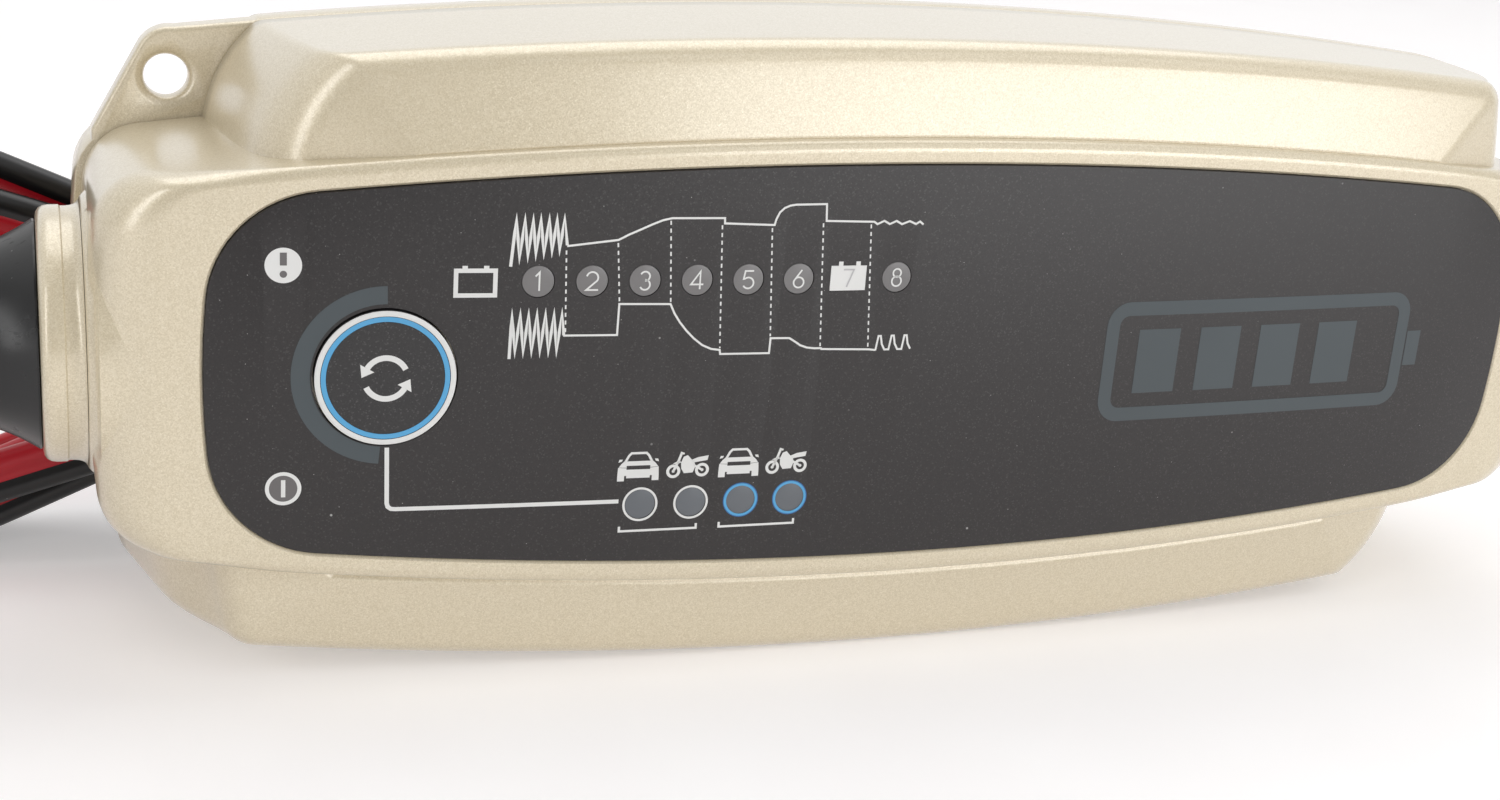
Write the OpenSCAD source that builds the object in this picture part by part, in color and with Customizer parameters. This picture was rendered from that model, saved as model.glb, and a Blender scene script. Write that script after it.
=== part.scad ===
// Eight-stage battery charger for a car or a motorcycle.
// It stands on one long side: X runs along its length, Z is up and the panel faces -Y.
// Case pieces are drawn from the middle of the panel's face: depth runs back along +Y, height is
// counted from that middle.

/* [Case] */
// Full height of the case across its two swollen long sides
body_w = 64.6; // [60:0.2:74]
// Height of the panel's middle above the case's middle
panel_lift = 0.3; // [0:0.1:0.6]
// Full depth from the panel's face to the back
body_d = 38; // [36:1:46]
// Half of the length of the middle block, without the collars
block_half = 81.2; // [79:0.2:90]
// Height of the middle block at its middle
block_w = 45.4; // [43.6:0.2:49]
// Radius of the long bowed sides, seen from the front
side_r = 627; // [560:1:900]
// Radius of the bowed ends of the middle block
end_r = 150; // [110:5:300]
// Corner radius of the middle block
block_corner = 6; // [5:0.5:8]
// Radius of the bowed front face, seen from above
front_r = 985; // [800:5:2000]
// Depth of the joint between the two shells, behind the panel's face
split_y = 28.4; // [27.6:0.1:29.4]
// Wall thickness of both shells
wall = 2.2; // [1.8:0.1:2.4]
// Rounding of the long front edges of the block
edge_r = 1.2; // [0.9:0.1:1.6]
// Rounding of the front edges at the two ends of the block
end_edge_r = 5; // [3:0.5:6]
// Rounding of the back edges of the middle block
back_edge_r = 3; // [2:0.5:4]
// Rounding of the back edges of the swollen sides
back_side_r = 6.5; // [4:0.5:7]
// Step by which the back shell's ends stand out past the front shell
end_lip = 0.7; // [0.3:0.1:1]
// Gap between the two shells, which the gasket fills
seam_gap = 0.25; // [0.15:0.05:0.4]

/* [Swollen sides] */
// Depth at which the sides begin, at the foot of the block's front edge
groove_y = 0.65; // [0.5:0.05:1]
// Depth of the ridge between the slope and the flat side
ridge_y = 3.5; // [3:0.1:5]
// Where each side is cut short, at the lug's end, at the shells' joint
side_half = 69.3; // [67:0.1:71]
// Radius of the cut end
side_end_r = 15.5; // [14:0.5:18]
// Height of the middle of the cut end's rounding
side_end_z = 17.2; // [15:0.2:18]
// Corner between the cut end and the long side
side_corner = 2.2; // [2:0.1:4]
// How far the side's full end stays within the end of the block
full_end_in = 0.3; // [0.2:0.05:0.6]

/* [Panel] */
// Half of the length of the panel
panel_half = 71.3; // [69:0.1:73]
// Height of the panel at its middle
panel_w = 41; // [39:0.2:41.4]
// Radius of the bowed ends of the panel
panel_end_r = 83; // [70:1:120]
// Corner radius of the panel
panel_corner = 11; // [9:0.5:13]
// Thickness of the panel
panel_t = 0.6; // [0.4:0.05:0.8]
// Gap around the panel and its windows
panel_gap = 0.08; // [0.05:0.01:0.12]
// Radius of the round windows
window_r = 1.55; // [1.3:0.05:1.8]
// Distance between the numbered windows
window_pitch = 5.155; // [4.6:0.005:5.3]
// Place of the first numbered window along the panel
window_x = -40.9; // [-43:0.1:-40]
// Height of the numbered windows above the panel's middle
window_z = 9.2; // [8.5:0.1:10]
// Place of the first mode window along the panel
mode_x = -29.8; // [-31:0.1:-28]
// Distance of the mode windows below the panel's middle
mode_z = 13.7; // [12.5:0.1:14]
// Place of the warning and power windows along the panel
alert_x = -64.2; // [-65:0.1:-63.8]
// Distance of the warning and power windows from the panel's middle
alert_z = 10.8; // [10:0.1:11]

/* [Mode button] */
// Place of the button along the panel
button_x = -54.9; // [-56:0.1:-54]
// Radius of the button's cap
button_r = 6.6; // [6:0.1:7]
// Gap around the button
button_gap = 0.15; // [0.1:0.01:0.25]
// How far the button stands out of the panel
button_proud = 0.35; // [0.2:0.05:0.5]
// Travel of the button
button_travel = 0.4; // [0.2:0.05:0.5]
// Radius of the plunger behind the cap
plunger_r = 2; // [1.6:0.1:2.4]

/* [Cable outlets] */
// Depth of the outlets' axis behind the panel's face
outlet_y = 18.2; // [17.6:0.1:18.8]
// Radius of the collars
collar_r = 12.3; // [11.8:0.1:13]
// Length by which each collar stands out of its end
collar_l = 4; // [3.4:0.1:5]
// Radius of the hole in each end wall
outlet_r = 8; // [7:0.1:8.6]
// Radius of the boot where it meets the collar
boot_r = 11; // [10:0.1:11.4]
// Radius of the boot just outside its flare
boot_neck_r = 8.2; // [7.4:0.1:8.6]
// Radius of the boot's thin end
boot_tip_r = 4.4; // [4:0.1:5.5]
// Length of the boot outside the collar
boot_l = 40; // [30:1:50]

/* [Mounting lugs] */
// Distance of each lug's hole from the middle of the length, along it
lug_x = 72.4; // [71.8:0.1:72.8]
// Distance of the lugs' holes above and below the middle
lug_z = 23.2; // [22.6:0.1:23.6]
// Diameter of the lugs' holes
lug_hole_d = 4.3; // [3.5:0.1:5]
// Thickness of the lugs
lug_t = 2.6; // [2:0.1:3.2]

/* [Boards] */
// Depth of the front of the control board
control_y = 8; // [7.6:0.1:9]
// Depth of the front of the power board
power_y = 30.6; // [30.2:0.1:31]
// Thickness of both boards
board_t = 1.6; // [1:0.1:2]
// Half of the length of the power board
power_half = 55; // [53:0.5:57]
// Half of the width of the power board
power_hw = 25; // [24:0.2:26]

/* [Output lead] */
// Width of the flat twin lead
lead_w = 5.8; // [5:0.1:6]
// Thickness of the flat twin lead
lead_t = 3; // [2.4:0.1:3.1]
// Radius of the hank's end loops, along the lead's middle
hank_r = 21; // [18:0.5:22]
// Slope of the hank's runs, as rise over length
hank_k = 0.39; // [0.3:0.01:0.45]
// Place of the tie along the case
hank_x = -51; // [-55:1:-45]
// Number of layers of lead in the hank
hank_layers = 5; // [4:1:6]
// Distance between the hank and the case's back
hank_gap = 0.4; // [0.3:0.1:0.8]

/* [Hidden] */
$fn = 48;

side_points = 12;       // steps along a long side, each way from the middle
corner_points = 5;      // steps round a corner
end_points = 2;         // steps along half an end
side_end_points = 5;    // steps round the end of a swollen side
half_w = body_w / 2;
back_y = body_d;
overlap = 0.6;          // how far a solid runs into the one that it grows from
clear = 0.3;            // running gap between loose neighbours

// ---- outlines -----------------------------------------------------------------------------------

// Centre of the corner arc that touches a side arc of radius rs and an end arc of radius re, whose
// centre stands at height bz.
function corner_at(hw, hl, rs, re, rc, bz = 0) =
    let (a = [0, hw - rs], b = [hl - re, bz], d = b - a, n = norm(d), ra = rs - rc, rb = re - rc,
         t = (ra * ra - rb * rb + n * n) / (2 * n), h = sqrt(ra * ra - t * t))
    a + d / n * t + [d.y, -d.x] / n * h;

function on_arc(c, r, a) = c + r * [cos(a), sin(a)];

// A quarter of a bowed, round-cornered outline, from the middle of its long side to the middle of its end.
function quarter(hw, hl, rs, re, rc, bz = 0, m = end_points) =
    let (a = [0, hw - rs], b = [hl - re, bz], c = corner_at(hw, hl, rs, re, rc, bz),
         a1 = atan2(c.y - a.y, c.x - a.x), a2 = atan2(c.y - b.y, c.x - b.x))
    concat(
        [for (i = [0:side_points]) on_arc(a, rs, 90 + (a1 - 90) * i / side_points)],
        [for (i = [1:corner_points]) on_arc(c, rc, a1 + (a2 - a1) * i / corner_points)],
        [for (i = [1:m]) on_arc(b, re, a2 * (1 - i / m))]);

// The upper half of the outline, from its left end to its right end.
function upper(q) =
    concat([for (i = [len(q) - 1:-1:1]) [-q[i].x, q[i].y]], q);

// The whole outline: the upper half and then its mirror image, run back.
function whole(q) =
    let (u = upper(q), n = len(u))
    concat(u, [for (i = [n - 2:-1:1]) [u[i].x, -u[i].y]]);

// The middle block's outline, drawn in by a distance all round; the ends can be drawn in further.
function block(inset, end_inset, lip = 0) =
    quarter(block_w / 2 - inset, block_half + lip - end_inset, side_r - inset, end_r - end_inset,
        block_corner - min(inset, block_corner - 1));

// How much shorter a swollen side is than at the joint, by depth: at its cut end and at its full end.
function cut_back(y) = lookup(y, [[0.5, 7.3], [4, 5.2], [6.5, 3.5], [9, 2.75], [14, 1.8], [28, 0]]);
function full_back(y) = lookup(y,
    [[0.5, 10.2], [5.4, 9.2], [8, 8], [10.3, 6], [14, 4.2], [22, 2.5], [28, 0.8]]);

// The upper swollen side's outline, smaller by inset all round: from its cut end over the top to its
// full end.
function side_line(inset, y) =
    let (hw = half_w - inset, rs = side_r - inset, foot = inset / 4 - 3,
         cut = side_half - inset - cut_back(y), full = block_half - full_end_in - inset - full_back(y),
          q = quarter(hw, cut, rs, side_end_r - inset, max(0.5, side_corner - inset), side_end_z,
                      side_end_points),
         f = quarter(hw, full, rs, end_r - inset, max(0.5, side_corner - inset), 0, side_end_points))
    concat([[-cut, foot]], [for (i = [len(q) - 1:-1:1]) [-q[i].x, q[i].y]], f, [[full, foot]]);

function panel(inset) =
    quarter(panel_w / 2 - inset, panel_half - inset, side_r - inset, panel_end_r - inset,
            panel_corner - inset);

// Depth of the bowed front at a place along the length.
function bow(x) = x * x / (2 * front_r);

// A ring of points for a loft: an outline at a depth, which follows the bow where bowed is 1.
function ring(q, y, bowed = 1) = bent(whole(q), y, bowed);
function bent(points, y, bowed = 1) = [for (p = points) [p.x, y + bowed * bow(p.x), p.y]];

// A closed skin over rings of equal numbers of points, front to back, with the given faces across its front.
module skin(rings, front) {
    n = len(rings[0]);
    last = len(rings) - 1;
    points = [for (r = rings) each r];
    walls = [for (k = [0:last - 1], i = [0:n - 1])
        [k * n + i, (k + 1) * n + i, (k + 1) * n + (i + 1) % n, k * n + (i + 1) % n]];
    back = [for (f = front) [for (i = [len(f) - 1:-1:0]) f[i] + last * n]];
    polyhedron(points = points, faces = concat(walls, front, back), convexity = 4);
}

// A skin over whole outlines, with strips between their upper and lower halves.
module loft(rings) {
    n = len(rings[0]);
    h = n / 2;
    skin(rings, [for (i = [0:h - 1]) let (j = n - i, k = n - i - 1)
        i == 0 ? [0, 1, k] : (i == h - 1 ? [i, h, j] : [i, i + 1, k, j])]);
}

// A skin over one swollen side's outlines, with triangles between their two ends.
module side_loft(rings) {
    n = len(rings[0]);
    h = floor(n / 2);
    skin(rings, concat(
        [for (i = [0:h - 1]) [i, i + 1, n - 1 - i]],
        [for (i = [0:h - 2 + n % 2]) [i + 1, n - 2 - i, n - 1 - i]]));
}

// A flat-ended slab of a drawn outline, between two depths.
module slab(y0, y1) { translate([0, y1, 0]) rotate([90, 0, 0]) linear_extrude(y1 - y0) children(); }

// A round bar along the depth.
module bar_y(x, z, y0, y1, r) { translate([x, y1, z]) rotate([90, 0, 0]) cylinder(r = r, h = y1 - y0); }

// A round bar along the length, about the outlets' axis.
module bar_x(x0, x1, r) { translate([x0, outlet_y, 0]) rotate([0, 90, 0]) cylinder(r = r, h = x1 - x0); }

// A box between two corners.
module span(a, b) { translate(a) cube(b - a); }

// Everything stands on the floor: the case's middle comes to half its height, and its depth is centred.
mid_z = half_w + panel_lift;
module stand() { translate([0, -body_d / 2, mid_z]) children(); }

// Draws something at both ends.
module both_ends() {
    children();
    mirror([1, 0, 0]) children();
}

// Draws something twice, the second time turned half round: the swollen sides and the lugs are
// diagonal twins.
module twins() {
    translate([0, 0, -panel_lift]) {
        children();
        rotate([0, 180, 0]) children();
    }
}

// ---- shells -------------------------------------------------------------------------------------

// How deep the rounded front edge reaches at a place along the length: more at the ends than along the sides.
function edge_depth(x) =
    let (s = max(0, min(1, (abs(x) - side_half + 7) / 14)))
    edge_r + (end_edge_r - edge_r) * s * s;

// The front block, grown inwards by in, open towards the back.
module front_block(in, y_end) {
    turns = [0, 30, 60, 90];
    loft(concat(
        [for (a = turns) let (q = whole(block(in + edge_r * (1 - sin(a)), in + end_edge_r * (1 - sin(a)))))
            [for (p = q) [p.x, in + bow(p.x) + edge_depth(p.x) * (1 - cos(a)), p.y]]],
        [ring(block(in, in), y_end, 0)]));
}

// A swollen side of the front shell: the slope, the ridge and the flat side, with ends that lean outwards.
function side_ring(inset, in, y, bowed = 1) = bent(side_line(inset + in, y), y + in, bowed);
module front_side(in, y_end) {
    rise = half_w - block_w / 2;
    slope = (ridge_y - groove_y) / rise;
    step = rise / 6;
    lead_in = 0.9;
    hook = 2.6;
    hook_in = min(rise + hook, side_end_r - 2.4 - in);
    side_loft([
        side_ring(hook_in, in, groove_y + hook),
        side_ring(rise + lead_in, in, groove_y - slope * lead_in),
        side_ring(step, in, ridge_y - slope * step),
        side_ring(step / 3, in, ridge_y + 0.3),
        side_ring(0, in, ridge_y + 1.8),
        side_ring(0, in, 8, 0.9),
        side_ring(0, in, 10.3, 0.8),
        side_ring(0, in, split_y / 2, 0.6),
        side_ring(0, in, 22, 0.25),
        bent(side_line(in, split_y), y_end, 0)]);
}

case_screw_x = block_half - 7.7;
case_screw_z = 12;
case_boss_r = 3.3;
case_pilot_r = 1.25;
neck_r = collar_r + 0.6;
control_posts = [[-67, 4.6], [-67, -4.6], [-3, 14.2], [-3, -14.2]];
control_post_r = 2.2;
control_pilot_r = 0.9;

function number_at(i) = window_x + i * window_pitch;
mode_pitch = 5.2;
function mode_at(i) = mode_x + i * mode_pitch;
shown_numbers = [0, 1, 2, 3, 4, 5, 7];
battery_window = [3.9, 2.7];
battery_i = 6;

// Places of every round window: along the length, and from the middle.
round_windows = concat(
    [for (i = shown_numbers) [number_at(i), window_z]],
    [for (i = [0:3]) [mode_at(i), -mode_z]],
    [[alert_x, alert_z], [alert_x, -alert_z]]);

// Cuts for the windows, larger than them by a gap.
module window_cuts(gap) {
    for (p = round_windows) bar_y(p.x, p.y, -2, control_y - 1.2, window_r + gap);
    translate([number_at(battery_i), 0, window_z])
        span([-battery_window.x / 2 - gap, -2, -battery_window.y / 2 - gap],
            [battery_window.x / 2 + gap, control_y - 1.2, battery_window.y / 2 + gap]);
}

// Turns the button's own axis to stand square on the bowed front.
button_turn = atan(button_x / front_r);
module on_button() {
    translate([button_x, bow(button_x), 0]) rotate([0, 0, button_turn]) rotate([-90, 0, 0]) children();
}
cap_depth = panel_t + 0.1;
recess_depth = cap_depth + button_travel + 0.15;

module front_shell() {
    color([0.80, 0.76, 0.66]) stand() difference() {
        union() {
            difference() {
                union() {
                    front_block(0, split_y);
                    twins() front_side(0, split_y);
                    both_ends() intersection() {
                        bar_x(block_half - wall + 0.2, block_half, neck_r);
                        span([0, 0, -neck_r], [block_half + 1, split_y, neck_r]);
                    }
                }
                front_block(wall, split_y + 1);
                twins() front_side(wall, split_y + 1);
            }
            both_ends() for (s = [-1, 1])
                bar_y(case_screw_x, s * case_screw_z, wall + bow(case_screw_x) - overlap, split_y,
                      case_boss_r);
            for (p = control_posts)
                bar_y(p.x, p.y, wall + bow(p.x) - overlap, control_y, control_post_r);
        }
        loft([ring(panel(-panel_gap), -3), ring(panel(-panel_gap), panel_t)]);
        window_cuts(0.1);
        on_button() translate([0, 0, -3]) cylinder(r = button_r + button_gap, h = 3 + recess_depth);
        on_button() cylinder(r = plunger_r + clear, h = wall + 2);
        both_ends() bar_x(block_half - 9, block_half + 3, outlet_r);
        both_ends() for (s = [-1, 1])
            bar_y(case_screw_x, s * case_screw_z, split_y - screw_reach - 2, split_y + 1, case_pilot_r);
        for (p = control_posts) bar_y(p.x, p.y, control_y - 2.8, control_y + 1, control_pilot_r);
    }
}

// The back shell's block or a swollen side: straight from the joint, then rounded into the back.
back_turns = [90, 60, 30, 0];
function joint_depth(in) = in > 0 ? split_y - 1 : split_y + seam_gap;
function round_in(r, a) = r * (1 - sin(a));
function round_depth(r, in, a) = back_y - in - r * (1 - cos(a));
module back_block(in) {
    loft(concat(
        [ring(block(in, in, end_lip), joint_depth(in), 0)],
        [for (a = back_turns) let (d = in + round_in(back_edge_r, a))
            ring(block(d, d, end_lip), round_depth(back_edge_r, in, a), 0)]));
}
module back_side(in) {
    side_loft(concat(
        [bent(side_line(in, split_y), joint_depth(in), 0)],
        [for (a = back_turns) let (d = in + round_in(back_side_r, a))
            bent(side_line(d, split_y), round_depth(back_side_r, in, a), 0)]));
}

// The lugs stand at the sides' cut ends: at the upper left and at the lower right.
module at_lugs() { twins() mirror([1, 0, 0]) children(); }

// A mounting lug's outline: a flat ear whose outer side slants, with a round corner over its hole.
lug_round = 3;
module lug_outline() {
    c = [lug_x + 0.2, lug_z + 1.9];
    polygon(concat(
        [[side_half - 6, 15], [side_half - 6, half_w - 3.3]],
        [for (a = [95:-11:29]) on_arc(c, lug_round, a)],
        [[block_half - 1.6, block_w / 2 - 5], [block_half - 1.6, 15]]));
}
lug_front = split_y + seam_gap;
rim_r = lug_hole_d / 2 + 0.75;
screw_head_r = 2.8;
screw_head_h = 2.2;
screw_seat_y = split_y + 5;
screw_clear_r = 1.7;
screw_reach = 14;       // how far the case screws run into the front shell
power_posts = [[-51, 18], [-51, -18], [51, 18], [51, -18]];
power_post_r = 2.6;
power_pilot_r = 1.1;

module back_shell() {
    color([0.78, 0.74, 0.64]) stand() difference() {
        union() {
            difference() {
                union() {
                    back_block(0);
                    twins() back_side(0);
                    at_lugs() slab(lug_front, lug_front + lug_t) lug_outline();
                }
                back_block(wall);
                twins() back_side(wall);
            }
            both_ends() for (s = [-1, 1])
                bar_y(case_screw_x, s * case_screw_z, lug_front, back_y - overlap, case_boss_r + 0.6);
            for (p = power_posts) bar_y(p.x, p.y, power_y + board_t, back_y - overlap, power_post_r);
        }
        at_lugs() {
            bar_y(lug_x, lug_z, lug_front - 1, lug_front + lug_t + 1, lug_hole_d / 2);
            translate([lug_x, lug_front, lug_z]) rotate([-90, 0, 0]) translate([0, 0, -0.1])
                cylinder(r1 = rim_r + 0.1, r2 = rim_r - 0.75, h = 0.85);
        }
        both_ends() {
            for (s = [-1, 1]) {
                bar_y(case_screw_x, s * case_screw_z, lug_front - 1, back_y + 1, screw_clear_r);
                bar_y(case_screw_x, s * case_screw_z, screw_seat_y, back_y + 1, screw_head_r + clear);
            }
            bar_x(block_half, block_half + 5, collar_r + clear);
        }
        for (p = power_posts) bar_y(p.x, p.y, power_y, power_y + board_t + 3.5, power_pilot_r);
        slab(back_y - plate_t, back_y + 1) plate_outline(plate_gap);
    }
}

// The joint's gasket follows the shells' joint, halfway through the wall.
gasket_w = 1;
module joint_outline(in) {
    polygon(whole(block(in, in)));
    translate([0, -panel_lift]) for (a = [0, 180]) rotate(a) polygon(side_line(in, split_y));
}
module seam_gasket() {
    color([0.12, 0.12, 0.12]) stand() slab(split_y + 0.02, split_y + seam_gap - 0.02) difference() {
        joint_outline((wall - gasket_w) / 2);
        joint_outline((wall + gasket_w) / 2);
    }
}

// ---- panel and button ---------------------------------------------------------------------------

module panel_overlay() {
    color([0.2, 0.19, 0.2]) stand() difference() {
        loft([ring(panel(0), 0), ring(panel(0), panel_t - 0.02)]);
        window_cuts(0.04);
        on_button() translate([0, 0, -3]) cylinder(r = button_r + button_gap, h = 6);
    }
}

module mode_button() {
    color([0.16, 0.16, 0.17]) stand() on_button() {
        translate([0, 0, -button_proud]) cylinder(r = button_r - 0.25, h = 0.25);
        translate([0, 0, 0.25 - button_proud]) cylinder(r = button_r, h = cap_depth + button_proud - 0.25);
    }
}

plunger_end = control_y - bow(button_x) - 2.1;
module button_plunger() {
    color([0.85, 0.85, 0.82]) stand() on_button()
        translate([0, 0, cap_depth]) cylinder(r = plunger_r, h = plunger_end - cap_depth);
}

switch_w = 6;
switch_h = 1.3;
stem_r = 1.5;
module switch_stem() {
    color([0.25, 0.25, 0.25]) stand()
        bar_y(button_x, 0, control_y - 1.95, control_y - 0.6, stem_r);
}
module switch_case() {
    color([0.75, 0.75, 0.75]) stand() difference() {
        span([button_x - switch_w / 2, control_y - switch_h, -switch_w / 2],
            [button_x + switch_w / 2, control_y, switch_w / 2]);
        bar_y(button_x, 0, control_y - 3, control_y - 0.1, stem_r + 0.06);
    }
}

// A round window is a light guide from the panel's face to just above its light.
module guide(p) { bar_y(p.x, p.y, bow(p.x), control_y - 1.2, window_r); }
module number_windows() {
    color([0.55, 0.54, 0.55]) stand() {
        for (i = shown_numbers) guide([number_at(i), window_z]);
        translate([number_at(battery_i), 0, window_z])
            span([-battery_window.x / 2, bow(number_at(battery_i)), -battery_window.y / 2],
                [battery_window.x / 2, control_y - 1.2, battery_window.y / 2]);
    }
}
module mode_windows() { color([0.4, 0.42, 0.45]) stand() for (i = [0:3]) guide([mode_at(i), -mode_z]); }
module alert_windows() { color([0.85, 0.85, 0.88]) stand() for (s = [-1, 1]) guide([alert_x, s * alert_z]); }

light_w = 2;
module indicator_lights() {
    places = concat(round_windows, [[number_at(battery_i), window_z]]);
    half = light_w / 2;
    color([0.95, 0.93, 0.8]) stand() for (p = places)
        span([p.x - half, control_y - 0.95, p.y - half], [p.x + half, control_y, p.y + half]);
}

// ---- boards -------------------------------------------------------------------------------------

control_x0 = -69.5;
control_x1 = 0;
control_hw = 16.6;
link_x = -18;
link_z = 5;
link_pins = 6;
pin_pitch = 2.54;

module control_board() {
    color([0.1, 0.35, 0.2]) stand() difference() {
        slab(control_y, control_y + board_t) polygon([
            [control_x0, -10], [control_x0, 10], [control_x0 + 6.5, control_hw - 2.6],
            [-52, control_hw - 1.6],
            [control_x1, control_hw], [control_x1, -control_hw], [-52, -control_hw + 1.6],
            [control_x0 + 6.5, -control_hw + 2.6]]);
        for (p = control_posts)
            bar_y(p.x, p.y, control_y - 1, control_y + board_t + 1, control_pilot_r + 0.25);
    }
}
module controller_chip() {
    color([0.1, 0.1, 0.1]) stand()
        span([-38, control_y + board_t, -5], [-28, control_y + board_t + 1.4, 5]);
}
module board_link() {
    color([0.8, 0.7, 0.4]) stand() {
        for (i = [0:link_pins - 1])
            bar_y(link_x, link_z + (i - (link_pins - 1) / 2) * pin_pitch, control_y + board_t, power_y, 0.45);
    }
}
module small_screw(x, z, seat, head_r, head_h, shank_r, l) {
    bar_y(x, z, seat, seat + head_h, head_r);
    bar_y(x, z, seat - l, seat, shank_r);
}
module control_screws() {
    color([0.7, 0.7, 0.7]) stand() for (p = control_posts)
        small_screw(p.x, p.y, control_y + board_t, 1.8, 1.2, control_pilot_r, board_t + 2.2);
}

module power_board() {
    color([0.12, 0.4, 0.22]) stand() difference() {
        slab(power_y, power_y + board_t) polygon([
            [-power_half, -power_hw + 4], [-power_half, power_hw - 4], [-power_half + 4, power_hw],
            [power_half - 4, power_hw], [power_half, power_hw - 4], [power_half, -power_hw + 4],
            [power_half - 4, -power_hw], [-power_half + 4, -power_hw]]);
        for (p = power_posts) bar_y(p.x, p.y, power_y - 1, power_y + board_t + 1, power_pilot_r + 0.3);
    }
}
module power_screws() {
    color([0.7, 0.7, 0.7]) stand() for (p = power_posts) {
        bar_y(p.x, p.y, power_y - 1.6, power_y, 2.2);
        bar_y(p.x, p.y, power_y, power_y + board_t + 3, power_pilot_r);
    }
}

// ---- parts on the power board -------------------------------------------------------------------

// Puts a part on the power board: its own Z rises from the board towards the panel.
module on_board(x, z) { stand() translate([x, power_y, z]) rotate([90, 0, 0]) children(); }

xf = [1, 2];            // transformer's place on the board
xf_size = [30, 13, 19];
xf_leg = 3.8;
xf_bar = 3;
xf_leg_r = 4;
xf_coil_r = 10.2;
module transformer_core() {
    color([0.2, 0.2, 0.22]) on_board(xf.x, xf.y) {
        difference() {
            translate([-xf_size.x / 2, -xf_size.y / 2, 0]) cube(xf_size);
            translate([-xf_size.x / 2 + xf_leg, -xf_size.y, xf_bar])
                cube([xf_size.x - 2 * xf_leg, 2 * xf_size.y, xf_size.z - 2 * xf_bar]);
        }
        translate([0, 0, xf_bar - overlap]) cylinder(r = xf_leg_r, h = xf_size.z - 2 * xf_bar + 2 * overlap);
    }
}
module transformer_winding() {
    window = xf_size.z - 2 * xf_bar;
    color([0.85, 0.75, 0.25]) on_board(xf.x, xf.y) translate([0, 0, xf_bar + 0.1]) rotate_extrude()
        polygon([[xf_leg_r + 0.15, 0], [xf_coil_r + 0.6, 0], [xf_coil_r + 0.6, 1], [xf_coil_r - 0.4, 1],
            [xf_coil_r - 0.4, window - 1.2], [xf_coil_r + 0.6, window - 1.2], [xf_coil_r + 0.6, window - 0.2],
            [xf_leg_r + 0.15, window - 0.2]]);
}

choke = [40, 13];
choke_r = 6.2;
choke_tube = 2.6;
module filter_choke() {
    color([0.65, 0.3, 0.15]) on_board(choke.x, choke.y) translate([0, 0, choke_r + choke_tube + 0.8]) {
        rotate([90, 0, 0]) rotate_extrude() translate([choke_r, 0]) circle(r = choke_tube - 0.6);
        for (a = [0, 180]) rotate([0, a, 0]) rotate([90, 0, 0]) rotate_extrude(angle = 130)
            translate([choke_r, 0]) circle(r = choke_tube);
        translate([-4, -3.4, -choke_r - choke_tube - 0.8]) cube([8, 6.8, 2.4]);
    }
}
out_choke = [-33, -11];
module output_choke() {
    color([0.75, 0.4, 0.18]) on_board(out_choke.x, out_choke.y)
        translate([0, 0, 3.6]) rotate_extrude() translate([6.6, 0]) circle(r = 3.6);
}
bulk = [27, -11];
bulk_r = 8;
bulk_h = 18;
module bulk_capacitor() {
    color([0.15, 0.2, 0.35]) on_board(bulk.x, bulk.y) rotate_extrude()
        polygon([[0, 0], [bulk_r - 0.6, 0], [bulk_r, 0.6], [bulk_r, 2], [bulk_r - 0.5, 2.6], [bulk_r, 3.2],
            [bulk_r, bulk_h - 0.8], [bulk_r - 0.8, bulk_h], [0, bulk_h]]);
}
out_caps = [[-47, 7], [-35, 7]];
out_cap_r = 5;
out_cap_h = 16;
module output_capacitors() {
    r = out_cap_r;
    h = out_cap_h;
    color([0.1, 0.25, 0.4]) for (p = out_caps) on_board(p.x, p.y)
        rotate_extrude() polygon([[0, 0], [r - 0.4, 0], [r, 0.5], [r, h - 0.6], [r - 0.6, h], [0, h]]);
}
film_cap = [44, -9];
film_cap_size = [6.4, 13, 11];
module film_capacitor() {
    color([0.85, 0.7, 0.2]) on_board(film_cap.x, film_cap.y)
        translate([-film_cap_size.x / 2, -film_cap_size.y / 2, 0]) cube(film_cap_size);
}
sink_z = 21;
sink_x0 = -28;
sink_x1 = 28;
sink_h = 17;
sink_t = 3;
transistor_xs = [-20, -6, 8, 22];
transistor_hw = 5;
tab_hole_y = power_y - 14;
tab_screw_r = 1.2;
tab_t = 1.3;
lead_pitch = 2.54;
module heat_sink() {
    color([0.75, 0.77, 0.8]) stand() difference() {
        span([sink_x0, power_y - sink_h, sink_z], [sink_x1, power_y, sink_z + sink_t]);
        for (x = transistor_xs) translate([x, tab_hole_y, sink_z - 1])
            cylinder(r = tab_screw_r, h = sink_t + 2);
    }
}
module power_transistors() {
    color([0.12, 0.12, 0.12]) stand() for (x = transistor_xs) difference() {
        union() {
            span([x - transistor_hw, power_y - 11.5, sink_z - 4.2], [x + transistor_hw, power_y - 2, sink_z]);
            span([x - transistor_hw, power_y - 16.5, sink_z - tab_t],
                 [x + transistor_hw, power_y - 11.5, sink_z]);
            for (s = [-1:1]) span([x + s * lead_pitch - 0.4, power_y - 2, sink_z - 2.8],
                [x + s * lead_pitch + 0.4, power_y, sink_z - 2]);
        }
        translate([x, tab_hole_y, sink_z - 5]) cylinder(r = tab_screw_r + 0.5, h = 6);
    }
}
module transistor_screws() {
    color([0.7, 0.7, 0.7]) stand() for (x = transistor_xs) translate([x, tab_hole_y, 0]) {
        translate([0, 0, sink_z - tab_t - 1.5]) cylinder(r = 2.3, h = 1.5);
        translate([0, 0, sink_z - tab_t]) cylinder(r = tab_screw_r, h = tab_t + 2.5);
    }
}
fuse_place = [31, -21.5];
fuse_l = 16;
fuse_r = 2.4;
fuse_cap_l = 4;
fuse_lift = 3.4;
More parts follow.
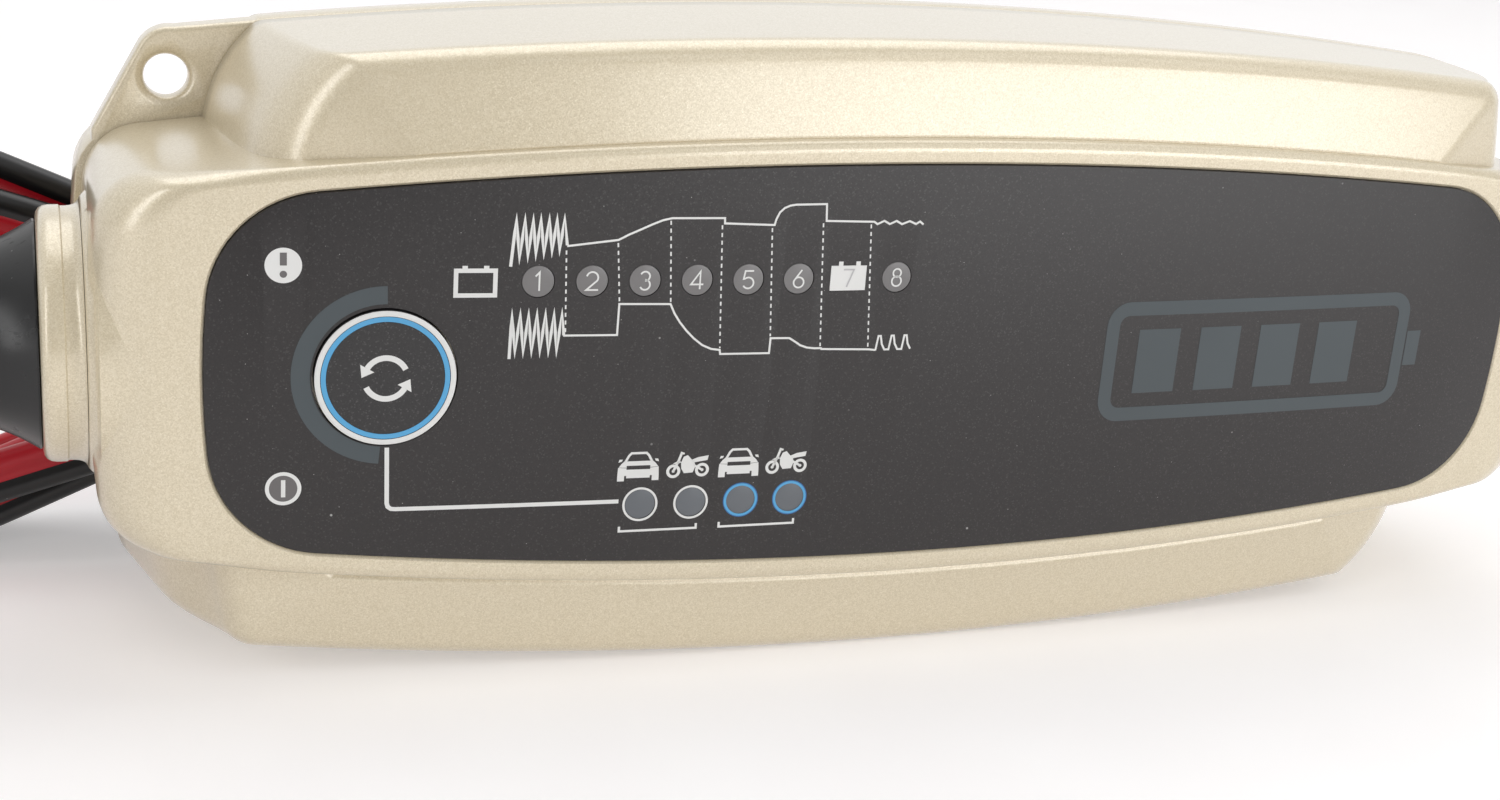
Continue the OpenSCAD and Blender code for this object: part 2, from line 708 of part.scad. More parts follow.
module fuse() {
    place = [fuse_place.x, power_y - fuse_lift, fuse_place.y];
    color([0.85, 0.85, 0.8]) stand() translate(place) rotate([0, 90, 0]) {
        cylinder(r = fuse_r, h = fuse_l);
        for (h = [0, fuse_l - fuse_cap_l]) translate([0, 0, h]) cylinder(r = fuse_r + 0.2, h = fuse_cap_l);
        for (h = [1.5, fuse_l - 2.5]) translate([-1, 0.5, h]) cube([2, fuse_lift - 0.5, 1]);
    }
}
module varistor() {
    color([0.2, 0.35, 0.6]) stand() {
        translate([50.5, power_y - 8, 4.5]) rotate([0, 90, 0]) cylinder(r = 5, h = 3);
        span([51.6, power_y - 3.5, 3], [52.4, power_y, 3.8]);
        span([51.6, power_y - 3.5, 5.2], [52.4, power_y, 6]);
    }
}
terminals = [[-49, -12], [-49, -6], [51.5, -12], [51.5, -6.4]];
terminal_h = 5;
terminal_r = 2.1;
terminal_floor = 2;
module wire_terminals() {
    color([0.75, 0.75, 0.78]) for (p = terminals) on_board(p.x, p.y) difference() {
        cylinder(r = terminal_r, h = terminal_h);
        translate([0, 0, terminal_floor]) cylinder(r = wire_r + 0.1, h = terminal_h);
    }
}

// ---- cable outlets ------------------------------------------------------------------------------

collar_bore = outlet_r + 0.2;
module collar() {
    r = collar_r;
    l = collar_l;
    translate([block_half, outlet_y, 0]) rotate([0, 90, 0]) rotate_extrude()
        polygon([[collar_bore, 0.05], [r, 0.05], [r, l - 0.9], [r - 0.25, l - 0.35], [r - 0.9, l],
            [collar_bore, l]]);
}
module left_collar() { color([0.80, 0.76, 0.66]) stand() mirror([1, 0, 0]) collar(); }
module right_collar() { color([0.80, 0.76, 0.66]) stand() collar(); }

// Boot and gland share the flange that the end wall traps: it lies against the wall's inner face.
flange_x = block_half - wall - 0.4;
flange_t = 2.4;
flange_r = outlet_r + 1.6;
tip_x = block_half + collar_l + boot_l;
wire_r = 1.15;
wire_gap = 3.2;
module outlet_profile(out) {
    n = boot_neck_r;
    x0 = block_half + collar_l;
    root = [[0, flange_x - flange_t - 0.1], [flange_r, flange_x - flange_t - 0.1], [flange_r, flange_x - 0.1],
        [outlet_r - 0.05, flange_x - 0.1], [outlet_r - 0.05, x0]];
    flare = [for (a = [0:15:90]) [boot_r - (boot_r - n) * sin(a), x0 + 0.4 + (boot_r - n) * (1 - cos(a))]];
    taper = [for (t = [0.25, 0.5, 0.75, 1]) [n + (boot_tip_r - n) * t, x0 + 4 + (boot_l - 5) * t]];
    cap = [[boot_tip_r - 0.5, tip_x], [0, tip_x]];
    polygon(out ? concat(root, [[boot_r, x0]], flare, taper, cap) : concat(root, [[0, x0]]));
}
module along_outlet() { translate([0, outlet_y, 0]) rotate([0, 90, 0]) rotate_extrude() children(); }
module lead_boot() {
    color([0.08, 0.08, 0.08]) stand() mirror([1, 0, 0]) difference() {
        along_outlet() outlet_profile(true);
        for (i = [0:4]) translate([block_half + collar_l + slot_start + i * slot_pitch, outlet_y, 0])
            boot_slot(i % 2);
    }
}
// A flexing slot across the boot, open on two sides.
slot_start = 11;
slot_pitch = 5.6;
slot_w = 1.6;
slot_core = 3.6;
module boot_slot(turned) {
    rotate([turned * 90, 0, 0]) for (s = [0, 180]) rotate([s, 0, 0])
        translate([0, -boot_r - 1, slot_core]) cube([slot_w, 2 * boot_r + 2, boot_r + 1]);
}
module mains_gland() {
    color([0.08, 0.08, 0.08]) stand() difference() {
        along_outlet() outlet_profile(false);
        bar_x(block_half - 3, block_half + collar_l + 2, 3.3);
        for (s = [-1, 1]) translate([block_half - 8, outlet_y, s * wire_gap / 2]) rotate([0, 90, 0])
            cylinder(r = wire_r + 0.05, h = 12);
    }
}
// A yoke that presses on the flange from inside, held by the ribs of the shell.
yoke_hw = 8;
module clamp_yoke() {
    x1 = flange_x - flange_t - 0.15;
    difference() {
        span([x1 - 3.2, outlet_y - 8, -yoke_hw], [x1, split_y - 0.4, yoke_hw]);
        bar_x(x1 - 5, x1 + 2, 4.6);
    }
}
module boot_clamp() { color([0.3, 0.3, 0.32]) stand() mirror([1, 0, 0]) clamp_yoke(); }
module gland_clamp() { color([0.3, 0.3, 0.32]) stand() clamp_yoke(); }

// An insulated wire swept along points: eight-sided, closed at both ends.
function along(p, i) = (p[min(i + 1, len(p) - 1)] - p[max(i - 1, 0)]);
function unit(v) = v / norm(v);
module sweep(p, w, t, n = 8) {
    rings = [for (i = [0:len(p) - 1])
        let (d = unit(along(p, i)), side = unit(cross(d, [0, 0, 1])), top = cross(side, d))
        [for (k = [0:n - 1]) let (a = 360 * (k + 0.5) / n, f = 1 / cos(180 / n))
            p[i] + side * (t / 2 * f * cos(a)) + top * (w / 2 * f * sin(a))]];
    m = len(p) - 1;
    faces = concat(
        [[for (k = [n - 1:-1:0]) k]],
        [[for (k = [0:n - 1]) m * n + k]],
        [for (i = [0:m - 1], k = [0:n - 1])
            let (a = i * n, b = a + n, j = (k + 1) % n) [a + k, a + j, b + k]],
        [for (i = [0:m - 1], k = [0:n - 1])
            let (a = i * n, b = a + n, j = (k + 1) % n) [a + j, b + j, b + k]]);
    polyhedron(points = [for (r = rings) each r], faces = faces, convexity = 6);
}
inner_x = flange_x - flange_t - 0.1;
module inner_wire(sx, z0, term) {
    mouth = power_y - terminal_h;
    run = inner_x - abs(term.x);
    stand() sweep([[sx * inner_x, outlet_y, z0], [sx * (inner_x - run * 0.2), outlet_y, z0],
        [sx * (inner_x - run * 0.42), outlet_y + 0.3, z0 * 0.65 + term.y * 0.35],
        [sx * (inner_x - run * 0.66), outlet_y + 0.9, z0 * 0.2 + term.y * 0.8],
        [term.x + sx * 3, mouth - 4.6, term.y], [term.x + sx * 0.8, mouth - 2.6, term.y],
        [term.x, mouth, term.y], [term.x, power_y - terminal_floor - 0.1, term.y]], 2 * wire_r, 2 * wire_r);
}
module output_wire_red() { color([0.75, 0.1, 0.12]) inner_wire(-1, -wire_gap / 2, terminals[0]); }
module output_wire_black() { color([0.1, 0.1, 0.1]) inner_wire(-1, wire_gap / 2, terminals[1]); }
module mains_wire_live() { color([0.4, 0.22, 0.1]) inner_wire(1, -wire_gap / 2, terminals[2]); }
module mains_wire_neutral() { color([0.1, 0.2, 0.6]) inner_wire(1, wire_gap / 2, terminals[3]); }

// ---- fasteners and plate ------------------------------------------------------------------------

socket_r = 1;
module case_screws() {
    color([0.55, 0.55, 0.57]) stand() both_ends() for (s = [-1, 1]) difference() {
        union() {
            bar_y(case_screw_x, s * case_screw_z, screw_seat_y + 0.02,
                screw_seat_y + screw_head_h, screw_head_r);
            bar_y(case_screw_x, s * case_screw_z, split_y - screw_reach, screw_seat_y + 0.1, case_pilot_r);
        }
        bar_y(case_screw_x, s * case_screw_z, screw_seat_y + screw_head_h / 2, screw_seat_y + 3, socket_r);
    }
}

plate_half = [38, 18.5];
plate_t = 0.3;
plate_gap = 0.15;
plate_corner_r = 2;
module plate_outline(grow) {
    w = plate_half.x + grow;
    h = plate_half.y + grow;
    r = plate_corner_r + grow;
    square([2 * w - 2 * r, 2 * h], center = true);
    square([2 * w, 2 * h - 2 * r], center = true);
    for (i = [-1, 1], k = [-1, 1]) translate([i * (w - r), k * (h - r)]) circle(r = r);
}
module rating_plate() {
    color([0.85, 0.84, 0.8]) stand() slab(back_y - plate_t, back_y - 0.02) plate_outline(0);
}

// ---- output lead --------------------------------------------------------------------------------

floor_z = lead_w / 2 + 0.1;
boot_end = [-tip_x, outlet_y - body_d / 2, mid_z];
hank_z = floor_z + hank_r;
layer_pitch = lead_t + 0.2;
hank_y0 = body_d / 2 + hank_gap;
hank_y1 = hank_y0 + hank_layers * layer_pitch;
back_layer = hank_y1 - layer_pitch / 2;
front_layer = hank_y0 + layer_pitch / 2;
pinch = lead_w / 2 + 0.2;
loop_u = (hank_r * sqrt(1 + hank_k * hank_k) - pinch) / hank_k;

// The stretch from the boot to the hank: out, down to the floor, and round to the back layer.
lead_route = [boot_end, [-131, -0.8, mid_z], [-138, -0.3, 30.4], [-145, 1.6, 25.4], [-151, 5.2, 20.4],
    [-155.6, 10.4, 15.3], [-158, 16.6, 10.8], [-157.8, 23, 7.2], [-154.8, 28.8, 4.8], [-149.6, 33, 3.5],
    [-143, 35, floor_z], [-135, 35.6, floor_z], [-126, 35.2, floor_z], [-116, 34.6, floor_z],
    [hank_x - loop_u, back_layer, floor_z]];
// The tail from the hank's front layer to the connector.
connector_x = 26;
connector_y = 27;
connector_z = 6;
tail_route = [[hank_x + loop_u, front_layer, floor_z], [4, 21.3, floor_z], [9, 22.2, floor_z],
    [14, 24, 3.4], [19, 26, 4.6], [connector_x - 3, connector_y, connector_z],
    [connector_x, connector_y, connector_z]];

module output_lead() { color([0.6, 0.08, 0.1]) sweep(lead_route, lead_w, lead_t); }
module lead_tail() { color([0.6, 0.08, 0.1]) sweep(tail_route, lead_w, lead_t); }

// The hank is one closed solid: two round lobes and the pinched runs between them.
module lead_hank() {
    r = hank_r + lead_w / 2;
    a = 90 - atan(hank_k);
    lobe = [for (t = [180 - a:-(180 - a) / 15:a - 179.99]) on_arc([loop_u, 0], r, t)];
    neck = pinch + lead_w / 2;
    half = concat([[0, neck], [3, neck]], lobe, [[3, -neck], [0, -neck]]);
    color([0.5, 0.08, 0.1]) translate([hank_x, hank_y1, hank_z]) rotate([90, 0, 0])
        linear_extrude(hank_y1 - hank_y0)
            polygon(concat(half, [for (k = [len(half) - 2:-1:1]) [-half[k].x, half[k].y]]));
}
tie_w = 4;
tie_t = 1;
module hank_tie() {
    p = pinch + lead_w / 2 + 0.1;
    color([0.1, 0.1, 0.1]) difference() {
        span([hank_x - tie_w / 2, hank_y0 - 0.3, hank_z - p - tie_t],
            [hank_x + tie_w / 2, hank_y1 + 0.1 + tie_t, hank_z + p + tie_t]);
        span([hank_x - tie_w, hank_y0 - 0.02, hank_z - p], [hank_x + tie_w, hank_y1 + 0.1, hank_z + p]);
    }
}

// A flat two-pole connector that lies on the floor behind the case.
body_l = 34;
body_hy = 5.2;
barrel_l = 11;
barrel_r = 3.1;
barrel_zs = [3.9, 10.7];
module connector_sleeve() {
    color([0.1, 0.1, 0.1]) translate([connector_x, connector_y, connector_z])
        rotate([0, 90, 0]) rotate_extrude()
            polygon([[0, 0], [3.8, 0], [5.2, 8.5], [5.6, 9], [0, 9]]);
}
module connector_body() {
    x0 = connector_x + 9;
    color([0.14, 0.14, 0.15]) difference() {
        union() {
            span([x0, connector_y - body_hy, 0.2], [x0 + body_l - barrel_l, connector_y + body_hy, 14.4]);
            for (z = barrel_zs) translate([x0 + body_l - barrel_l - overlap, connector_y, z])
                rotate([0, 90, 0])
                cylinder(r = barrel_r, h = barrel_l + overlap);
        }
        for (z = barrel_zs) translate([x0 + body_l - barrel_l - 1, connector_y, z]) rotate([0, 90, 0])
            cylinder(r = 2, h = barrel_l + 3);
    }
}
module connector_contacts() {
    x0 = connector_x + 9 + body_l - barrel_l - 1;
    color([0.8, 0.72, 0.45]) for (z = barrel_zs) translate([x0, connector_y, z]) rotate([0, 90, 0]) {
        cylinder(r = 1.95, h = 1);
        cylinder(r = 1.2, h = 9.5);
    }
}

front_shell();
back_shell();
seam_gasket();
panel_overlay();
mode_button();
button_plunger();
switch_stem();
switch_case();
number_windows();
mode_windows();
alert_windows();
indicator_lights();
control_board();
controller_chip();
board_link();
control_screws();
power_board();
power_screws();
transformer_core();
transformer_winding();
filter_choke();
output_choke();
bulk_capacitor();
output_capacitors();
film_capacitor();
heat_sink();
power_transistors();
transistor_screws();
fuse();
varistor();
wire_terminals();
output_wire_red();
output_wire_black();
mains_wire_live();
mains_wire_neutral();
left_collar();
right_collar();
lead_boot();
boot_clamp();
mains_gland();
gland_clamp();
case_screws();
rating_plate();
output_lead();
lead_hank();
lead_tail();
hank_tie();
connector_body();
connector_contacts();
connector_sleeve();
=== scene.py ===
"""Eight-stage battery charger with a bowed panel, a push button, two lugs and a tied twin output lead.

Sizes are the case's own millimetres: x runs along its length, y back from the panel's face and z up from the
panel's middle. dressed() carries them into the shared frame, in metres. The lead, its tie and its connector are
given in the frame's own millimetres.
"""

import math

import bpy
import numpy as np
from mathutils import Matrix, Vector


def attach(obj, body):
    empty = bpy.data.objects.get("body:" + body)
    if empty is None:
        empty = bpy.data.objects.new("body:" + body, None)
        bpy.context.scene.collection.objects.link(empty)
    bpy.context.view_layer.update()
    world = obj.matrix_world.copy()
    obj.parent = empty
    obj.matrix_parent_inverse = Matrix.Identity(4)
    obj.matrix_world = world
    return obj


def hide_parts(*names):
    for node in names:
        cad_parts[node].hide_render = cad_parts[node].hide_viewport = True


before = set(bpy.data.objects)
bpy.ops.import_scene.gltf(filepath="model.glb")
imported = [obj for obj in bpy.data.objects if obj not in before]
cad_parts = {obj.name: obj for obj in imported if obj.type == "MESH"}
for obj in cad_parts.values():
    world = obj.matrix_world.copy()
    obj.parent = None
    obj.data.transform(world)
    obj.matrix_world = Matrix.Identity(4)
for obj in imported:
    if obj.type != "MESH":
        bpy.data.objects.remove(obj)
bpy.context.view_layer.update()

BODY_D, HALF_W, PANEL_LIFT = 38.0, 32.3, 0.3
MID_Z = HALF_W + PANEL_LIFT
BLOCK_HW, BLOCK_HALF = 22.9, 81.2
SIDE_R, END_R, BLOCK_CORNER, FRONT_R = 627.0, 150.0, 6.0, 985.0
SPLIT_Y, SEAM_GAP, END_LIP, WALL = 28.4, 0.25, 0.7, 2.2
SIDE_HALF, SIDE_END_R, SIDE_END_Z, SIDE_CORNER, FULL_END_IN = 69.3, 15.5, 17.2, 2.2, 0.3
PANEL_HW, PANEL_HALF, PANEL_END_R, PANEL_CORNER, PANEL_T = 20.5, 71.3, 83.0, 11.0, 0.6
WINDOW_R, WINDOW_X, WINDOW_PITCH, WINDOW_Z = 1.55, -40.9, 5.155, 9.2
MODE_X, MODE_PITCH, MODE_Z, ALERT_X, ALERT_Z = -29.8, 5.2, -13.7, -64.2, 10.8
BUTTON_X, BUTTON_R, BUTTON_GAP, BUTTON_PROUD = -54.9, 6.6, 0.15, 0.35
CONTROL_Y, GUIDE_SETBACK = 8.0, 1.2
OUTLET_Y, COLLAR_R, COLLAR_L, OUTLET_R = 18.2, 12.3, 4.0, 8.0
BOOT_R, BOOT_NECK_R, BOOT_TIP_R, BOOT_L = 11.0, 7.9, 4.4, 40.0
LUG_X, LUG_Z, LUG_HOLE_R, LUG_T = 72.4, 23.2, 2.15, 2.6
SCREW_X, SCREW_Z = 73.5, 12.0
LEAD_W, LEAD_THICK = 5.8, 2.96
MM = 0.001


# ---- camera -----------------------------------------------------------------------------------------------

EYE = (-0.085747, -0.199784, 0.093743)
IMAGE_W, FOCAL_LENGTH, SENSOR_W = 1500, 2059.54, 36
camera = bpy.data.objects.new("camera", bpy.data.cameras.new("camera"))
bpy.context.collection.objects.link(camera)
LOOK = Vector((0.32748, 0.89033, -0.31632)).normalized()
ACROSS = Vector((0.94413, -0.32150, 0.07255)).normalized()
ABOVE = ACROSS.cross(LOOK)
turn = Matrix((ACROSS, ABOVE, -LOOK)).transposed()
camera.matrix_world = Matrix.Translation(EYE) @ turn.to_4x4()
camera.data.sensor_width = SENSOR_W
camera.data.lens = FOCAL_LENGTH / IMAGE_W * SENSOR_W
camera.data.clip_start = 0.01
bpy.context.scene.camera = camera


# ---- curves and meshes ------------------------------------------------------------------------------------

def smooth_through(points, step):
    """Catmull-Rom curve through the points, resampled so that neighbours lie about a step apart along it."""
    p = np.asarray(points, float)
    p = np.vstack([2 * p[0] - p[1], p, 2 * p[-1] - p[-2]])
    t = np.linspace(0, 1, 25)[:-1, None, None]
    a, b, c, d = p[:-3], p[1:-2], p[2:-1], p[3:]
    rows = 0.5 * (2 * b + (c - a) * t + (2 * a - 5 * b + 4 * c - d) * t**2 + (3 * b - a - 3 * c + d) * t**3)
    return spaced(np.vstack([rows.transpose(1, 0, 2).reshape(-1, p.shape[1]), p[-2]]), step)


def spaced(line, step):
    """The same line with its points an even distance apart."""
    s = np.r_[0, np.cumsum(np.linalg.norm(np.diff(line, axis=0), axis=1))]
    n = max(2, int(round(s[-1] / step)) + 1)
    at = np.linspace(0, s[-1], n)
    return np.column_stack([np.interp(at, s, line[:, k]) for k in range(line.shape[1])])


def relaxed(line, rounds):
    """The line after rounds of averaging each inner point with its neighbours, which eases its joins."""
    p = np.array(line, float)
    for _ in range(rounds):
        p[1:-1] = 0.25 * p[:-2] + 0.5 * p[1:-1] + 0.25 * p[2:]
    return p


def unit(v):
    return v / np.linalg.norm(v, axis=-1, keepdims=True)


def grid_faces(m, n):
    """Quads of a grid of m rows of n points, each row closed on itself."""
    i, j = np.meshgrid(np.arange(m - 1), np.arange(n), indexing="ij")
    k = (j + 1) % n
    return np.stack([i * n + j, i * n + k, (i + 1) * n + k, (i + 1) * n + j], -1).reshape(-1, 4)


def volume_of(points, faces):
    """Six times the enclosed volume, positive where the faces point outwards: each face is fanned from its
    first corner, and each triangle adds its corners' triple product."""
    total = 0.0
    for size in {len(f) for f in faces}:
        f = points[np.array([x for x in faces if len(x) == size])]
        for k in range(1, size - 1):
            total += np.einsum("ij,ij->", f[:, 0], np.cross(f[:, k], f[:, k + 1]))
    return total


def mesh_of(name, points, faces):
    """A mesh of points and faces, its faces turned outwards."""
    points = np.asarray(points, float).reshape(-1, 3)
    faces = [tuple(int(i) for i in f) for f in faces]
    if volume_of(points - points.mean(0), faces) < 0:
        faces = [f[::-1] for f in faces]
    mesh = bpy.data.meshes.new(name)
    mesh.from_pydata(points.tolist(), [], faces)
    mesh.update()
    return mesh


def object_of(name, mesh):
    piece = bpy.data.objects.new(name, mesh)
    bpy.context.collection.objects.link(piece)
    return piece


def dressed(name, mesh, materials, body="case", angle=35, nodes=(), scale=True):
    """A finished piece: case millimetres carried into the frame, where the depth is centred on the origin and
    the panel's middle stands half the height up; smooth shading up to an angle, its materials, the
    body that it rides on and the nodes that it stands for."""
    if scale:
        mesh.transform(Matrix.Scale(MM, 4) @ Matrix.Translation((0, -BODY_D / 2, MID_Z)))
    mesh.shade_smooth()
    mesh.set_sharp_from_angle(angle=math.radians(angle))
    for material in materials if isinstance(materials, (list, tuple)) else [materials]:
        mesh.materials.append(material)
    mesh.name = name
    piece = object_of(name, mesh)
    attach(piece, body)
    if nodes:
        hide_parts(*nodes)
    return piece


def joined(*solids):
    """Points and faces of several solids as one, each with its faces outwards."""
    points, faces, start = [], [], 0
    for p, f in solids:
        p = np.asarray(p, float).reshape(-1, 3)
        f = [tuple(int(i) for i in face) for face in f]
        back = volume_of(p - p.mean(0), f) < 0
        points.append(p)
        faces += [tuple(i + start for i in (face[::-1] if back else face)) for face in f]
        start += len(p)
    return np.vstack(points), faces


def carved(name, base, *steps):
    """A solid after unions and cuts with other solids; a step is an operation and its points and faces."""
    body = object_of(name, mesh_of(name, *base))
    tools = []
    for k, (operation, tool) in enumerate(steps):
        helper = object_of(f"{name}_{k}", mesh_of("tool", *tool))
        tools.append(helper)
        step = body.modifiers.new(operation, "BOOLEAN")
        step.operation, step.object, step.solver = operation, helper, "MANIFOLD"
    shape = bpy.data.meshes.new_from_object(body.evaluated_get(bpy.context.evaluated_depsgraph_get()))
    for helper in [body, *tools]:
        old = helper.data
        bpy.data.objects.remove(helper)
        bpy.data.meshes.remove(old)
    shape.materials.clear()
    shape.polygons.foreach_set("material_index", np.zeros(len(shape.polygons), int))
    return shape


def turned(profile, centre, axis, n=64):
    """A profile of radius and height turned once round an axis. Ends on the axis close to one point; a profile
    that starts and ends off it closes on itself as a ring."""
    profile = np.asarray(profile, float)
    axis = unit(np.asarray(axis, float))
    side = unit(np.cross(axis, [0.3, 0.2, 1.0] if abs(axis[2]) < 0.9 else [1.0, 0.2, 0.3]))
    t = 2 * math.pi * np.arange(n) / n
    spoke = np.cos(t)[:, None] * side + np.sin(t)[:, None] * np.cross(axis, side)
    centre = np.asarray(centre, float)
    poled = profile[0, 0] < 1e-9 and profile[-1, 0] < 1e-9
    rows = profile[1:-1] if poled else profile
    points = (centre + rows[:, 1, None, None] * axis + rows[:, 0, None, None] * spoke).reshape(-1, 3)
    j = np.arange(n)
    k = (j + 1) % n
    top = (len(rows) - 1) * n
    faces = grid_faces(len(rows), n).tolist()
    if not poled:
        return points, faces + np.column_stack([top + j, top + k, k, j]).tolist()
    first, last = len(points), len(points) + 1
    faces += np.column_stack([k, j, np.full(n, first)]).tolist()
    faces += np.column_stack([top + j, top + k, np.full(n, last)]).tolist()
    return np.vstack([points, centre + profile[0, 1] * axis, centre + profile[-1, 1] * axis]), faces


def bar(x, z, y0, y1, r, n=32):
    """A plain round bar along the depth."""
    return turned([(0, y0), (r, y0), (r, y1), (0, y1)], (x, 0, z), (0, 1, 0), n)


def bar_x(x0, x1, r):
    """A plain round bar along the length, through the outlets."""
    return turned([(0, x0), (r, x0), (r, x1), (0, x1)], (0, OUTLET_Y, 0), (1, 0, 0), 64)


def slab(outline, y0, y1, edge=0.0, steps=4, both=False):
    """An outline in x and z between two depths; its front edge, or both edges, are rounded by drawing it in."""
    o = np.asarray(outline, float)
    turns = np.linspace(0, math.pi / 2, steps + 1) if edge else [math.pi / 2]
    rows = [(edge * (1 - math.sin(a)), y0 + edge * (1 - math.cos(a))) for a in turns]
    rows += [(d, y0 + y1 - y) for d, y in rows[::-1]] if both else [(0, y1)]
    rings = []
    for inset, y in rows:
        q = drawn_in(o, inset) if inset else o
        rings.append(np.column_stack([q[:, 0], np.full(len(q), y), q[:, 1]]))
    n, m = len(o), len(rings)
    faces = grid_faces(m, n).tolist() + [tuple(range(n - 1, -1, -1)), tuple(range((m - 1) * n, m * n))]
    return np.vstack(rings), faces


def drawn_in(outline, d):
    """A closed convex outline moved inwards by d along its mitred corner normals."""
    o = np.asarray(outline, float)
    along = unit(np.roll(o, -1, 0) - o)
    normal = np.column_stack([along[:, 1], -along[:, 0]])
    turn_sign = np.sign(np.cross(o - np.roll(o, 1, 0), np.roll(o, -1, 0) - o).sum())
    both = unit(normal + np.roll(normal, 1, 0))
    stretch = 1 / np.maximum(0.3, (both * normal).sum(1))
    return o - turn_sign * d * both * stretch[:, None]


# ---- materials --------------------------------------------------------------------------------------------

def srgb(*levels):
    """Linear colour from 0 to 255 display levels."""
    c = np.array(levels, float) / 255
    return (*np.where(c <= 0.04045, c / 12.92, ((c + 0.055) / 1.055) ** 2.4), 1.0)


def add(tree, kind, inputs=(), **settings):
    """A node with its settings and inputs; an input that is a socket is linked, anything else is its value."""
    node = tree.nodes.new(kind)
    for key, value in settings.items():
        setattr(node, key, value)
    for key, value in dict(inputs).items():
        if isinstance(value, bpy.types.NodeSocket):
            tree.links.new(value, node.inputs[key])
        else:
            node.inputs[key].default_value = value
    return node


def maths(tree, operation, a, b=0.0, clamp=False):
    return add(tree, "ShaderNodeMath", {0: a, 1: b}, operation=operation, use_clamp=clamp).outputs[0]


def ramp(tree, value, low, high, out_low=0.0, out_high=1.0):
    """A value's range low to high carried smoothly to another range."""
    return add(tree, "ShaderNodeMapRange", {0: value, 1: low, 2: high, 3: out_low, 4: out_high},
               interpolation_type="SMOOTHSTEP").outputs[0]


def mixed(tree, factor, a, b):
    """Two colours mixed by a factor."""
    return add(tree, "ShaderNodeMix", {0: factor, 6: a, 7: b}, data_type="RGBA").outputs[2]


def group(name, inputs, outputs, fill):
    """An effect shared by several materials: fill(tree, entry) returns its outputs in order."""
    tree = bpy.data.node_groups.new(name, "ShaderNodeTree")
    for label, kind, value in inputs:
        socket = tree.interface.new_socket(label, in_out="INPUT", socket_type=kind)
        if value is not None:
            socket.default_value = value
    for label, kind in outputs:
        tree.interface.new_socket(label, in_out="OUTPUT", socket_type=kind)
    entry = tree.nodes.new("NodeGroupInput")
    results = fill(tree, entry.outputs)
    add(tree, "NodeGroupOutput", dict(enumerate(results)))
    return tree


FLOAT, VECTOR = "NodeSocketFloat", "NodeSocketVector"


def fill_flake(tree, entry):
    """Metal flakes: each cell of a fine cell pattern has one random brightness, and a few cells are bright."""
    cells = add(tree, "ShaderNodeTexVoronoi", {"Vector": entry["Vector"], "Scale": entry["Cells"]})
    level = add(tree, "ShaderNodeSeparateColor", {0: cells.outputs["Color"]})
    bright = ramp(tree, level.outputs[0], 0.86, 1.0)
    tilt = add(tree, "ShaderNodeVectorMath", {0: cells.outputs["Color"], 1: (0.5, 0.5, 0.5)},
               operation="SUBTRACT")
    lean = add(tree, "ShaderNodeVectorMath", {0: tilt.outputs[0], 3: entry["Lean"]}, operation="SCALE")
    shape = add(tree, "ShaderNodeNewGeometry")
    normal = add(tree, "ShaderNodeVectorMath", {0: shape.outputs["Normal"], 1: lean.outputs[0]},
                 operation="ADD")
    even = add(tree, "ShaderNodeVectorMath", {0: normal.outputs[0]}, operation="NORMALIZE")
    return level.outputs[1], bright, even.outputs[0]


FLAKE = group("metal_flake", [("Vector", VECTOR, None), ("Cells", FLOAT, 5000.0), ("Lean", FLOAT, 0.1)],
              [("Level", FLOAT), ("Bright", FLOAT), ("Normal", VECTOR)], fill_flake)


def fill_dust(tree, entry):
    """Dust: a few larger and more small specks, where a cell pattern comes near its centres, and short hairs
    where a stretched pattern does."""
    dots = None
    for times, reach, share in ((1.0, 0.05, 0.6), (2.6, 0.045, 0.5)):
        cells = maths(tree, "MULTIPLY", entry["Cells"], times)
        specks = add(tree, "ShaderNodeTexVoronoi", {"Vector": entry["Vector"], "Scale": cells})
        chance = add(tree, "ShaderNodeSeparateColor", {0: specks.outputs["Color"]})
        layer = maths(tree, "MULTIPLY",
                      ramp(tree, specks.outputs["Distance"], reach * 0.5, reach, 1.0, 0.0),
                      ramp(tree, chance.outputs[0], share, share + 0.3))
        dots = layer if dots is None else maths(tree, "MAXIMUM", dots, layer)
    bent = add(tree, "ShaderNodeTexNoise", {"Vector": entry["Vector"], "Scale": 160.0, "Detail": 1.0})
    push = add(tree, "ShaderNodeVectorMath", {0: bent.outputs["Color"], 3: 0.004}, operation="SCALE")
    moved = add(tree, "ShaderNodeVectorMath", {0: entry["Vector"], 1: push.outputs[0]}, operation="ADD")
    long = add(tree, "ShaderNodeMapping", {0: moved.outputs[0], "Rotation": (0.3, 0.9, 0.5),
                                           "Scale": (1.0, 1.0, 0.08)})
    hairs = add(tree, "ShaderNodeTexVoronoi", {"Vector": long.outputs[0], "Scale": 230.0})
    luck = add(tree, "ShaderNodeSeparateColor", {0: hairs.outputs["Color"]})
    thin = maths(tree, "MULTIPLY", ramp(tree, hairs.outputs["Distance"], 0.006, 0.02, 1.0, 0.0),
                 ramp(tree, luck.outputs[0], 0.8, 0.84))
    both = maths(tree, "MAXIMUM", dots, thin)
    return (maths(tree, "MULTIPLY", both, entry["Amount"]),)


DUST = group("dust", [("Vector", VECTOR, None), ("Cells", FLOAT, 300.0), ("Amount", FLOAT, 0.5)],
             [("Mask", FLOAT)], fill_dust)


